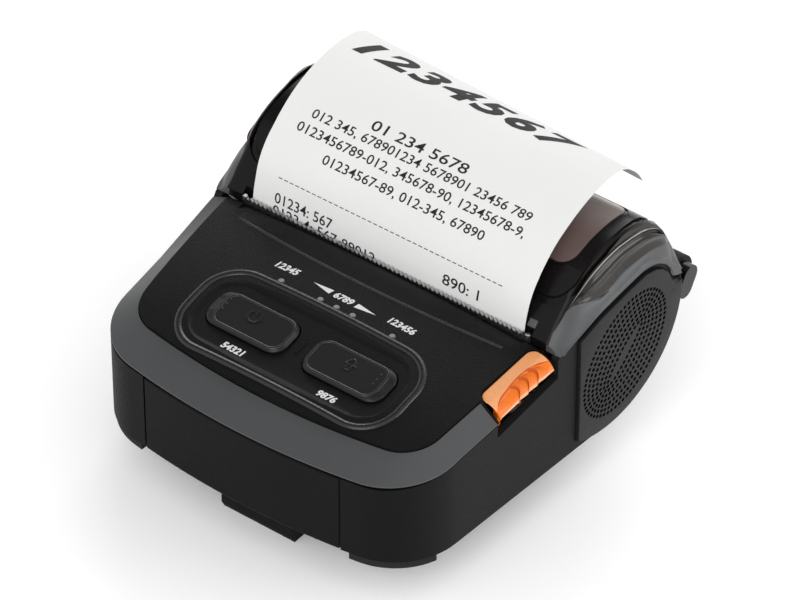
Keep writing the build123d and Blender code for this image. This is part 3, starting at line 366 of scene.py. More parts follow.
SLOT_FINISH: dict[str, Finish] = {
    "case_plastic": SHELL_ABS,
    "side_plastic": SIDE_ABS,
    "bezel_plastic": BEZEL_PAINT,
    "panel_plastic": PANEL_ABS,
    "key_plastic": KEY_ABS,
    "lens": LENS,
    "board": SOLDER_RESIST,
    "battery_plastic": CASE_ABS,
    "contact_metal": BRASS,
    "button_plastic": ORANGE_ACETAL,
    "spring_steel": GROUND_STEEL,
    "steel": STAINLESS,
    "tub_plastic": CASE_ABS,
    "paper": THERMAL_PAPER,
    "core": KRAFT_BOARD,
    "head_ceramic": GLAZED_ALUMINA,
    "aluminium": MILLED_ALUMINIUM,
    "rubber": SILICONE,
    "gear_plastic": NYLON,
    "bush": BRASS,
    "lid_plastic": LID_ABS,
    "smoked_window": SMOKED_PC,
    "trim_plastic": TRIM_PAINT,
}

SLOT_OF = {part["node"]: part["material_slot"] for part in frame["record"]["subparts"]}
BODY_OF = {node: body for body, nodes in frame["record"]["behaviour"]["bodies"].items() for node in nodes}


def make_piece(name: str, bm: bmesh.types.BMesh, body: str, slot: str, finish: Finish) -> bpy.types.Object:
    """Turns a finished bmesh into a piece that rides on a body.

    Args:
        name: The piece's name.
        bm: Its mesh in metres, in the printer's frame. It is freed here.
        body: The body that it moves with.
        slot: The record's material slot; not used.
        finish: Its finish.

    Returns:
        The new object.
    """
    mesh = bpy.data.meshes.new(name)
    bm.to_mesh(mesh)
    bm.free()
    piece = new_object(name, mesh)
    mesh.materials.append(finish.material())
    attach(piece, body)
    return piece


def smooth_by_angle(bm: bmesh.types.BMesh, degrees: float) -> None:
    """Shades a mesh smooth, with its edges above an angle kept sharp.

    Args:
        bm: The mesh.
        degrees: The angle above which an edge stays sharp.
    """
    for face in bm.faces:
        face.smooth = True
    for edge in bm.edges:
        edge.smooth = len(edge.link_faces) == 2 and edge.calc_face_angle(0.0) < math.radians(degrees)


def cad_mesh(node: str) -> bmesh.types.BMesh:
    """Copies a CAD node's mesh with its doubles merged and its flat faces joined.

    Args:
        node: The node's name.

    Returns:
        The merged copy.
    """
    bm = bmesh.new()
    bm.from_mesh(frame["nodes"][node].data)
    bmesh.ops.remove_doubles(bm, verts=bm.verts, dist=MERGE_MM * MM)
    bmesh.ops.dissolve_limit(bm, angle_limit=math.radians(FLAT_DEGREES), verts=bm.verts, edges=bm.edges)
    return bm


def carry(
    node: str, width: float, segments: int = 2, finish: Finish | None = None, even: bool = True
) -> bpy.types.Object:
    """Makes a piece from a CAD node, with its edges rounded as a mould does and smooth shading.

    Args:
        node: The CAD node that it stands for.
        width: The rounding of its edges in millimetres.
        segments: The steps of that rounding.
        finish: Its finish, or None for the one of its slot.
        even: True to keep large flat faces flat in shading, False for a form that curves all over.

    Returns:
        The new object.
    """
    bm = cad_mesh(node)
    smooth_by_angle(bm, SHARP_DEGREES)
    slot = SLOT_OF[node]
    piece = make_piece(f"{node}_shell", bm, BODY_OF[node], slot, finish or SLOT_FINISH[slot])
    bevel = piece.modifiers.new("edges", "BEVEL")
    bevel.width = width * MM
    bevel.segments = segments
    bevel.limit_method = "ANGLE"
    bevel.angle_limit = math.radians(ROUND_DEGREES)
    bevel.use_clamp_overlap = True
    if even:
        piece.modifiers.new("shading", "WEIGHTED_NORMAL").keep_sharp = True
    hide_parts(node)
    return piece


def bevel_edges(bm: bmesh.types.BMesh, edges: list[bmesh.types.BMEdge], width: float, segments: int) -> None:
    """Rounds some edges of a mesh.

    Args:
        bm: The mesh in metres.
        edges: The edges.
        width: The rounding in millimetres.
        segments: The steps of the rounding.
    """
    bmesh.ops.bevel(
        bm, geom=edges, offset=width * MM, offset_type="OFFSET", segments=segments, profile=0.5,
        affect="EDGES", clamp_overlap=True, material=-1,
    )


def between(a: Place, b: Place, count: int) -> list[Place]:
    """Finds evenly spaced places on the line from one place to the next.

    Args:
        a: The first place, which is one of them.
        b: The last place, which isn't.
        count: How many there are.

    Returns:
        The places.
    """
    return [(a[0] + (b[0] - a[0]) * i / count, a[1] + (b[1] - a[1]) * i / count) for i in range(count)]


def upright_bar(bm: bmesh.types.BMesh, middle: Point, radius: float, length: float, top: float = 1.0) -> None:
    """Adds a short closed round bar that stands upright.

    Args:
        bm: The mesh in metres that it is added to.
        middle: Its middle in millimetres.
        radius: Its radius in millimetres.
        length: Its length in millimetres.
        top: The share of the radius at its upper end.
    """
    matrix = Matrix.Translation(Vector(middle) * MM)
    low, high, sides = radius * MM, radius * top * MM, 20
    bmesh.ops.create_cone(
        bm, cap_ends=True, segments=sides, radius1=low, radius2=high, depth=length * MM, matrix=matrix
    )


def raised_ring(
    bm: bmesh.types.BMesh, path: list[Vector], half: float, height: float, up: Vector, closed: bool
) -> None:
    """Adds a low raised bead that follows a path on a surface.

    Args:
        bm: The mesh in metres that it is added to.
        path: The points of its middle line in metres.
        half: Half its width in millimetres.
        height: Its height in millimetres.
        up: The surface's outward direction.
        closed: True if its end meets its start.
    """
    rows = []
    count = len(path)
    for i, spot in enumerate(path):
        before = path[i - 1] if closed or i else spot
        after = path[(i + 1) % count] if closed or i < count - 1 else spot
        side = (after - before).cross(up).normalized() * half * MM
        section = [spot + side * across + up * height * rise * MM for across, rise in BEAD_SECTION]
        rows.append([bm.verts.new(corner) for corner in section])
    corners = len(BEAD_SECTION)
    for a, b in zip(rows, rows[1:] + rows[:1] if closed else rows[1:]):
        for k in range(corners):
            after = (k + 1) % corners
            bm.faces.new((a[k], a[after], b[after], b[k]))
    if not closed:
        bm.faces.new(rows[0])
        bm.faces.new(rows[-1][::-1])
    bmesh.ops.recalc_face_normals(bm, faces=bm.faces[:])


def dress_inner_nodes(nodes: Iterable[str]) -> None:
    """Gives CAD nodes that stay as they are the finish of their slot.

    Args:
        nodes: The nodes' names.
    """
    for node in nodes:
        mesh = frame["nodes"][node].data
        mesh.materials.clear()
        mesh.materials.append(SLOT_FINISH[SLOT_OF[node]].material())


def curve_mesh(curve: bpy.types.Curve) -> bmesh.types.BMesh:
    """Turns a curve or a text into a mesh.

    Args:
        curve: The curve, which is removed here.

    Returns:
        The mesh in the curve's own units.
    """
    holder = new_object(curve.name, curve)
    bpy.context.view_layer.update()
    mesh = bpy.data.meshes.new_from_object(holder.evaluated_get(bpy.context.evaluated_depsgraph_get()))
    bm = bmesh.new()
    bm.from_mesh(mesh)
    bpy.data.objects.remove(holder)
    bpy.data.curves.remove(curve)
    bpy.data.meshes.remove(mesh)
    return bm


def text_mesh(
    words: str, height: float, width: float, slant: float = 0.0, bold: float = 0.0, spacing: float = 1.0
) -> bmesh.types.BMesh:
    """Makes flat numerals, centred on the origin.

    Args:
        words: The numerals.
        height: The numerals' height in millimetres.
        width: The width of the whole line in millimetres.
        slant: The shear of italic numerals.
        bold: How far the outline is thickened, in millimetres.
        spacing: The spacing between characters.

    Returns:
        A flat mesh in millimetres.
    """
    curve = bpy.data.curves.new("numerals", "FONT")
    curve.body = words
    curve.size = height * TYPE_SIZE
    curve.shear = slant
    curve.space_character = spacing
    curve.align_x = "CENTER"
    curve.align_y = "CENTER"
    curve.offset = bold
    curve.resolution_u = 3
    bm = curve_mesh(curve)
    for axis, wanted in ((0, width), (1, height)):
        values = [vert.co[axis] for vert in bm.verts]
        low, high = min(values), max(values)
        scale = wanted / (high - low)
        for vert in bm.verts:
            vert.co[axis] = (vert.co[axis] - (low + high) / 2) * scale
    return bm


def flat_shape(points: Sequence[Place]) -> bmesh.types.BMesh:
    """Makes one flat face.

    Args:
        points: Its corners in order, in millimetres.

    Returns:
        A flat mesh in millimetres.
    """
    bm = bmesh.new()
    bm.faces.new([bm.verts.new((x, y, 0.0)) for x, y in points])
    return bm


def slice_along(bm: bmesh.types.BMesh, axis: int, step: float) -> None:
    """Cuts a flat mesh into strips, so that it can follow a curve.

    Args:
        bm: The mesh.
        axis: 0 to cut across X, 1 to cut across Y.
        step: The strips' width in the mesh's units.
    """
    values = [v.co[axis] for v in bm.verts]
    place = math.floor(min(values) / step) * step + step
    while place < max(values):
        spot, normal = Vector((0, 0, 0)), Vector((0, 0, 0))
        spot[axis], normal[axis] = place, 1.0
        everything = bm.verts[:] + bm.edges[:] + bm.faces[:]
        bmesh.ops.bisect_plane(bm, geom=everything, plane_co=spot, plane_no=normal, dist=1e-5)
        place += step


def read_profile(points: Sequence[Place], value: float) -> float:
    """Reads a profile at one place along it.

    Args:
        points: Pairs of a place and a value, in the order of their places.
        value: The place.

    Returns:
        The value there, or the nearest end's.
    """
    for (a, b), (c, d) in zip(points, points[1:]):
        if value <= c:
            return b + (d - b) * max(0.0, value - a) / (c - a)
    return points[-1][1]


def smooth_profile(points: Profile, value: float) -> float:
    """Reads a profile at one place along it, with a smooth curve through its points.

    Args:
        points: Pairs of a place and a value, in the order of their places.
        value: The place.

    Returns:
        The value there, or the nearest end's.
    """
    last = len(points) - 1
    i = max([k for k in range(last) if points[k][0] <= value], default=0)
    (a, b), (c, d) = points[i], points[i + 1]
    share = min(1.0, max(0.0, (value - a) / (c - a)))
    slopes = []
    for k in (i, i + 1):
        before, after = points[max(0, k - 1)], points[min(last, k + 1)]
        slopes.append((after[1] - before[1]) / (after[0] - before[0]) * (c - a))
    near, far = share * (1.0 - share) ** 2, -(share**2) * (1.0 - share)
    return b + (d - b) * share**2 * (3.0 - 2.0 * share) + slopes[0] * near + slopes[1] * far


def spline_points(points: Profile, count: int) -> list[Vector]:
    """Reads evenly spaced points from a smooth spline in the side view.

    Args:
        points: The spline's points, Y and Z.
        count: The number of steps.

    Returns:
        The points in metres.
    """
    curve = bpy.data.curves.new("profile", "CURVE")
    curve.dimensions = "3D"
    spline = curve.splines.new("BEZIER")
    spline.bezier_points.add(len(points) - 1)
    for point, (y, z) in zip(spline.bezier_points, points):
        point.co = (0.0, y * MM, z * MM)
        point.handle_left_type = point.handle_right_type = "AUTO"
    curve.resolution_u = 24
    bm = curve_mesh(curve)
    dense = [vert.co.copy() for vert in bm.verts]
    bm.free()
    total = sum((b - a).length for a, b in zip(dense, dense[1:]))
    run, spots, passed = [dense[0]], iter(zip(dense, dense[1:])), 0.0
    a, b = next(spots)
    for i in range(1, count):
        wanted = total * i / count
        while passed + (b - a).length < wanted:
            passed += (b - a).length
            a, b = next(spots)
        run.append(a.lerp(b, (wanted - passed) / (b - a).length))
    return run + [dense[-1]]


def skin(
    rows: list[list[Vector]], thickness: float, passes: int = 0, until: float = 0.0
) -> bmesh.types.BMesh:
    """Makes a closed shell from rows of points on its outer face.

    Args:
        rows: The points in metres, the same number in each row.
        thickness: The shell's thickness in millimetres.
        passes: How many times its inner points are drawn towards their neighbours.
        until: The place along Y, in millimetres, up to which they are drawn.

    Returns:
        The shell, with its faces outwards.
    """
    bm = bmesh.new()
    bmesh.ops.create_grid(bm, x_segments=len(rows[0]) - 1, y_segments=len(rows) - 1, size=1.0)
    bm.verts.ensure_lookup_table()
    for vert, spot in zip(bm.verts, [spot for row in rows for spot in row]):
        vert.co = spot
    inner = [vert for vert in bm.verts if not vert.is_boundary and vert.co.y < until * MM]
    for _ in range(passes):
        bmesh.ops.smooth_vert(bm, verts=inner, factor=0.5, use_axis_x=True, use_axis_y=True, use_axis_z=True)
    bm.normal_update()
    if sum(face.normal.z * face.calc_area() for face in bm.faces) < 0.0:
        bmesh.ops.reverse_faces(bm, faces=bm.faces[:])
    bmesh.ops.solidify(bm, geom=bm.faces[:], thickness=thickness * MM)
    return bm


@dataclass
class Mark:
    """One printed mark that lies on a surface.

    Attributes:
        bm: A flat mesh in millimetres.
        x: Where its middle lies across the surface.
        y: Where its middle lies along the surface.
    """

    bm: bmesh.types.BMesh
    x: float
    y: float


def lay_marks(
    name: str,
    marks: list[Mark],
    place: Callable[[float, float], Vector],
    body: str,
    slot: str,
    finish: Finish,
) -> bpy.types.Object:
    """Lays flat marks on a curved surface as one thin printed piece.

    Args:
        name: The piece's name.
        marks: The marks.
        place: Gives the point in metres for a place on the surface in millimetres.
        body: The body that it moves with.
        slot: The record's material slot.
        finish: The ink.

    Returns:
        The new object.
    """
    joined = bmesh.new()
    for mark in marks:
        slice_along(mark.bm, 1, CUT_ALONG)
        slice_along(mark.bm, 0, CUT_ACROSS)
        for vert in mark.bm.verts:
            vert.co = place(mark.x + vert.co.x, mark.y + vert.co.y)
        mesh = bpy.data.meshes.new("mark")
        mark.bm.to_mesh(mesh)
        mark.bm.free()
        joined.from_mesh(mesh)
        bpy.data.meshes.remove(mesh)
    return make_piece(name, joined, body, slot, finish)


def drop_onto(node: str, lift: float) -> Callable[[float, float], Vector]:
    """Makes a function that finds the top surface of a CAD node.

    Args:
        node: The node that marks lie on.
        lift: How far they stand off it, in millimetres.

    Returns:
        A function from X and Y in millimetres to a point in metres.
    """
    bm = bmesh.new()
    bm.from_mesh(frame["nodes"][node].data)
    tree = BVHTree.FromBMesh(bm)
    bm.free()
    above, down = 0.2, Vector((0, 0, -1))

    def place(x: float, y: float) -> Vector:
        """Finds the surface under one place.

        Args:
            x: The place along X in millimetres.
            y: The place along Y in millimetres.

        Returns:
            The point in metres.
        """
        hit, normal, _, _ = tree.ray_cast(Vector((x * MM, y * MM, above)), down)
        return hit + normal * lift * MM

    return place


@dataclass
class LowerBody:
    """The case, its side covers, the bezel, the battery pack and what the printer stands on.

    Attributes:
        edge: The rounding of the large mouldings.
        bar_edge: The rounding of the rear bar.
        bezel_edge: The rounding of the bezel.
        small_edge: The rounding of the feet and the port cover.
        rim: The rounding of the side covers' rims.
        hole: The radius of one vent hole.
        hole_depth: How deep it is.
        sides: The number of its sides.
        rings: The number of ovals that the holes lie on, one within the other.
        middle: The middle of the vents' oval, Y and Z.
        along: Half the oval's length on its middle line and the part that grows with each ring.
        across: Half the width of the outermost ring.
        tilt: The oval's angle in degrees.
        pitch: The distance between holes along a ring.
        bridge: The least plastic between two holes.
    """

    edge: float = 0.35
    bar_edge: float = 0.5
    bezel_edge: float = 0.3
    small_edge: float = 0.2
    rim: float = 0.7
    hole: float = 0.54
    hole_depth: float = 1.1
    sides: int = 8
    rings: int = 7
    middle: Place = (28.4, 31.9)
    along: tuple[float, float] = (7.4, 9.0)
    across: float = 12.7
    tilt: float = 46.5
    pitch: float = 1.42
    bridge: float = 0.2

    def build(self) -> None:
        """Makes every piece of the lower body."""
        for node in ("lower_case", "battery_pack", "belt_clip"):
            carry(node, self.edge)
        carry("rear_bar", self.bar_edge, segments=3, finish=BAR_ABS)
        self.side_cover("side_cover_right", 1)
        self.side_cover("side_cover_left", -1)
        carry("front_bezel", self.bezel_edge, segments=3)
        for node in ("front_feet", "rear_feet", "port_cover"):
            carry(node, self.small_edge)
        log.info("lower body: case, covers, bezel, pack, clip and bar")

    def vent_places(self) -> list[Place]:
        """Spaces the vent holes evenly along their ovals, without the ones that would run into another.

        Returns:
            The holes' middles, Y and Z in millimetres.
        """
        places = []
        turn, steps = math.radians(self.tilt), 720
        angles = [2 * math.pi * i / steps for i in range(steps)]
        for ring in range(1, self.rings + 1):
            share = ring / self.rings
            a, b = self.along[0] + self.along[1] * share, self.across * share
            outline = [(a * math.cos(angle), b * math.sin(angle)) for angle in angles]
            lengths = [math.dist(outline[i - 1], outline[i]) for i in range(steps)]
            count = round(sum(lengths) / self.pitch)
            gap, run, wanted = sum(lengths) / count, 0.0, 0.0
            for (u, v), step in zip(outline, lengths):
                run += step
                # The last gap ends where the first hole is, so no hole stands there.
                if run >= wanted and wanted < gap * (count - 0.01):
                    wanted += gap
                    y = self.middle[0] + u * math.cos(turn) - v * math.sin(turn)
                    z = self.middle[1] + u * math.sin(turn) + v * math.cos(turn)
                    if all(math.dist((y, z), other) > self.hole * 2 + self.bridge for other in places):
                        places.append((y, z))
        return places

    def side_cover(self, node: str, side: int) -> None:
        """Makes one round side cover with rounded edges and blind vent holes in its flat outer face.

        Args:
            node: The cover's CAD node.
            side: 1 for the right cover and -1 for the left one.
        """
        bm = cad_mesh(node)
        least = math.radians(40)
        sharp = [edge for edge in bm.edges if len(edge.link_faces) == 2 and edge.calc_face_angle(0.0) > least]
        bevel_edges(bm, sharp, self.rim, segments=4)
        outwards = [face for face in bm.faces if face.normal.x * side > 0.9]
        outer = max(outwards, key=lambda face: face.calc_area())
        normal, spot = outer.normal.copy(), outer.calc_center_median()
        edges = outer.edges[:]
        bmesh.ops.delete(bm, geom=[outer], context="FACES_ONLY")
        rings = []
        lean, radius = normal.y / normal.x, self.hole * MM
        turns = [2 * math.pi * i / self.sides for i in range(self.sides)]
        for y, z in self.vent_places():
            x = spot.x - (normal.y * (y * MM - spot.y) + normal.z * (z * MM - spot.z)) / normal.x
            ring = []
            for turn in turns:
                ahead, rise = radius * math.cos(turn), radius * math.sin(turn)
                ring.append(bm.verts.new((x - lean * ahead, y * MM + ahead, z * MM + rise)))
            rings.append(ring)
            edges += [bm.edges.new((a, b)) for a, b in zip(ring, ring[1:] + ring[:1])]
        bmesh.ops.triangle_fill(bm, use_beauty=True, use_dissolve=False, edges=edges, normal=normal)
        smooth_by_angle(bm, 40.0)
        # Each hole's walls and floor take the second material, a painted shade.
        for ring in rings:
            low = [bm.verts.new(vert.co - normal * self.hole_depth * MM) for vert in ring]
            for k in range(self.sides):
                after = (k + 1) % self.sides
                wall = bm.faces.new((ring[k], ring[after], low[after], low[k]))
                wall.material_index = 1
            bm.faces.new(low).material_index = 1
        bmesh.ops.recalc_face_normals(bm, faces=bm.faces[:])
        piece = make_piece(f"{node}_shell", bm, BODY_OF[node], SLOT_OF[node], SIDE_ABS)
        piece.data.materials.append(SHADOW_ABS.material())
        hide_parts(node)


@dataclass
class ControlPanel:
    """The black top cover with its keys, lights and printed marks.

    Attributes:
        edge: The rounding of the panel's edges.
        key_edge: The rounding of the keys' edges.
        lens_edge: The rounding of the lights' lenses.
        lift: How far the print stands off the plastic.
        slope: The tilt of the keys' plane in degrees.
        recess: The keys' recess: its middle along Y, its length, its width and its corner radius.
        step: The panel's rear step, as half its length, Y at its ends and Y in its middle.
        rib: The two ends of the rib between the keys.
        rib_bead: Half that rib's width and its height.
        rim_bead: The bead round the recess: how far out its middle lies, half its width and its height.
        spacing: The greatest distance between two points of that bead.
        step_bead: The bead on the rear step: how far in front its middle lies, half its width and its height.
        shoulder: Half the width and the height of the rounded line round a key's top.
        narrowing: A key's top narrows: X where that starts, the run to one step of it, and that step.
        power_mark: The middle of the power key's raised mark, X and Y.
        feed_mark: The middle of the feed key's raised mark, X and Y.
        mark_bead: Half the width and the height of a mark's lines.
        ring: The power mark's ring: its radius, where it starts and how far it goes round, in degrees.
        bar: The heights of the points of the power mark's bar.
        arrow: The corners of the feed mark's arrow.
        dots: X of the finger dots on the power key and on the feed key.
        dot_rows: Y of the finger dots.
        dot: The radius of a finger dot and how flat it is.
        words: The plain numerals beside the lights: what they say, their width, X and Y.
        low_words: The same for the ones beside the keys.
        word_height: The height of the numerals beside the lights and of the ones beside the keys.
        wedges: The wedges beside the middle light: the corners, X and Y.
    """

    edge: float = 0.28
    key_edge: float = 0.32
    lens_edge: float = 0.3
    lift: float = 0.03
    slope: float = 11.0
    recess: tuple[float, float, float, float] = (-26.2, 60.0, 23.2, 8.5)
    step: Point = (39.5, 0.5, -2.8)
    rib: tuple[Place, Place] = ((0.05, -23.3), (-0.11, -27.7))
    rib_bead: tuple[float, float] = (0.42, 0.3)
    rim_bead: tuple[float, float, float] = (0.9, 0.95, 0.42)
    spacing: float = 1.5
    step_bead: tuple[float, float, float] = (0.55, 0.4, 0.20)
    shoulder: tuple[float, float] = (0.38, 0.16)
    narrowing: tuple[float, float, float] = (15.0, 10.0, 1.3)
    power_mark: Place = (-14.2, -24.7)
    feed_mark: Place = (13.6, -24.9)
    mark_bead: tuple[float, float] = (0.24, 0.26)
    ring: tuple[float, float, float] = (1.7, 130.0, 280.0)
    bar: tuple[float, float, float] = (0.3, 1.1, 1.9)
    arrow: Profile = ((-0.6, -1.5), (-0.6, 0.2), (-1.6, 0.2), (0.0, 2.0), (1.6, 0.2), (0.6, 0.2), (0.6, -1.5))
    dots: tuple[float, float] = (-22.4, 21.4)
    dot_rows: tuple[float, float, float] = (-23.3, -24.9, -26.5)
    dot: tuple[float, float] = (0.3, 0.6)
    words: tuple[Word, ...] = (
        ("12345", 6.6, -17.4, -8.5), ("6789", 5.4, -0.2, -9.4), ("123456", 7.4, 16.2, -8.8),
    )
    low_words: tuple[Word, ...] = (("54321", 6.4, -13.3, -34.0), ("9876", 5.2, 14.0, -34.0))
    word_height: tuple[float, float] = (2.0, 1.9)
    wedges: tuple[tuple[Profile, float, float], ...] = (
        (((-2.8, 0.25), (2.4, -0.85), (2.9, 0.65)), -6.6, -9.2),
        (((-2.6, 0.75), (-3.0, -0.75), (2.9, 0.05)), 6.3, -9.6),
    )

    def build(self) -> None:
        """Makes the panel, its keys and its marks."""
        carry("control_panel", self.edge, segments=3)
        self.divider()
        self.beads()
        self.key("power_button", -1)
        self.key("feed_button", 1)
        carry("status_lights", self.lens_edge, segments=3)
        self.emboss("power_button", "power_key", self.power_lines(), self.dots[0])
        self.emboss("feed_button", "feed_key", self.feed_lines(), self.dots[1])
        self.print_marks()
        log.info("control panel: panel, keys, lights and marks")

    def divider(self) -> None:
        """Makes the short rounded rib between the keys."""
        floor = drop_onto("control_panel", 0.0)
        bm = bmesh.new()
        line = [floor(x, y) for x, y in between(*self.rib, 8) + [self.rib[1]]]
        raised_ring(bm, line, *self.rib_bead, self.up(), False)
        smooth_by_angle(bm, 60.0)
        make_piece("key_divider", bm, "printer", "panel_plastic", PANEL_ABS)

    def rounded(self, grow: float) -> list[Place]:
        """Finds the recess's rounded outline from above.

        Args:
            grow: How far outside the recess's edge it runs, in millimetres.

        Returns:
            Its points in order round it.
        """
        middle, length, width, radius = self.recess
        radius, half_x = radius + grow, length / 2 + grow
        half_y = (width / 2 + grow) * math.cos(math.radians(self.slope))
        spots = []
        for turn, (sx, sy) in enumerate(((1, 1), (-1, 1), (-1, -1), (1, -1))):
            corner = (sx * (half_x - radius), middle + sy * (half_y - radius))
            for i in range(13):
                angle = math.radians(90 * turn + 7.5 * i)
                spots.append((corner[0] + radius * math.cos(angle), corner[1] + radius * math.sin(angle)))
        dense = []
        for a, b in zip(spots, spots[1:] + spots[:1]):
            dense += between(a, b, max(1, round(math.dist(a, b) / self.spacing)))
        return dense

    def beads(self) -> None:
        """Makes the rounded bead round the recess and the one along the rear step."""
        top = drop_onto("control_panel", 0.0)
        bm = bmesh.new()
        out, half_width, height = self.rim_bead
        raised_ring(bm, [top(x, y) for x, y in self.rounded(out)], half_width, height, self.up(), True)
        half, end, middle = self.step
        front, half_width, height = self.step_bead
        # It stops a millimetre short of the step's ends.
        arc = [-half + 1.0 + (2 * half - 2.0) * i / 60 for i in range(61)]
        line = [top(x, middle + (end - middle) * (x / half) ** 2 - front) for x in arc]
        raised_ring(bm, line, half_width, height, Vector((0.0, 0.0, 1.0)), False)
        smooth_by_angle(bm, 80.0)
        make_piece("panel_beads", bm, "printer", "panel_plastic", BEAD_ABS)

    def up(self) -> Vector:
        """The outward direction of the keys' plane."""
        return Vector((0.0, -math.sin(math.radians(self.slope)), math.cos(math.radians(self.slope))))

    def key(self, node: str, side: int) -> None:
        """Makes one key, whose bevel widens towards the recess's end, and the shoulder round its top.

        Args:
            node: The key's CAD node.
            side: -1 for the left key and 1 for the right one.
        """
        piece = carry(node, self.key_edge, segments=3)
        bm = bmesh.new()
        bm.from_mesh(piece.data)
        up = self.up()
        start, run, shift = self.narrowing
        highest = max(vert.co.dot(up) for vert in bm.verts)
        for vert in bm.verts:
            # Only the corners of the flat top move.
            if highest - vert.co.dot(up) < 0.05 * MM:
                out = max(0.0, (side * vert.co.x / MM - start) / run)
                vert.co.x -= side * shift * out * MM
        bm.to_mesh(piece.data)
        bm.normal_update()
        upwards = [face for face in bm.faces if face.normal.dot(up) > 0.99]
        top = max(upwards, key=lambda face: face.calc_area())
        middle = top.calc_center_median()
        line = [vert.co - (vert.co - middle).normalized() * self.shoulder[0] * MM for vert in top.verts]
        bm.free()
        rim = bmesh.new()
        raised_ring(rim, line, *self.shoulder, up, True)
        smooth_by_angle(rim, 80.0)
        make_piece(f"{BODY_OF[node]}_shoulder", rim, BODY_OF[node], "key_plastic", BEAD_ABS)

    def power_lines(self) -> list[Line]:
        """Draws the power mark: a ring with a gap, and a bar in it.

        Returns:
            Its two lines on the key, both open.
        """
        radius, start, turn = self.ring
        angles = [math.radians(start + turn * i / 20) for i in range(21)]
        x, y = self.power_mark
        ring = [(x + radius * math.cos(a), y + radius * math.sin(a)) for a in angles]
        return [(ring, False), ([(x, y + up) for up in self.bar], False)]

    def feed_lines(self) -> list[Line]:
        """Draws the feed mark: the outline of an arrow.

        Returns:
            Its one line on the key, which is closed.
        """
        dense = []
        for a, b in zip(self.arrow, self.arrow[1:] + self.arrow[:1]):
            dense += between(a, b, 4)
        x, y = self.feed_mark
        return [([(x + u, y + v) for u, v in dense], True)]

    def emboss(self, node: str, body: str, lines: list[Line], dots_x: float) -> None:
        """Raises a mark and three finger dots on a key.

        Args:
            node: The key's CAD node.
            body: The body that the key is.
            lines: The mark's lines, each with whether it is closed.
            dots_x: Where the three dots lie across the key.
        """
        top = drop_onto(node, 0.0)
        bm = bmesh.new()
        for line, closed in lines:
            raised_ring(bm, [top(x, y) for x, y in line], *self.mark_bead, self.up(), closed)
        radius, flat = self.dot
        for y in self.dot_rows:
            spot = Matrix.Translation(top(dots_x, y)) @ Matrix.Diagonal((1.0, 1.0, flat, 1.0))
            bmesh.ops.create_icosphere(bm, subdivisions=2, radius=radius * MM, matrix=spot)
        smooth_by_angle(bm, 50.0)
        make_piece(f"{body}_mark", bm, body, "key_plastic", BEAD_ABS)

    def print_marks(self) -> None:
        """Prints the plain numerals and wedges beside the lights and the keys."""
        floor = drop_onto("control_panel", self.lift)
        rows = (("panel_marks", self.words, self.wedges), ("recess_marks", self.low_words, ()))
        for height, (name, words, wedges) in zip(self.word_height, rows):
            marks = [
                Mark(text_mesh(word, height, width, slant=0.2, bold=0.1), x, y) for word, width, x, y in words
            ]
            marks += [Mark(flat_shape(corners), x, y) for corners, x, y in wedges]
            lay_marks(name, marks, floor, "printer", "panel_plastic", PAD_PRINT)


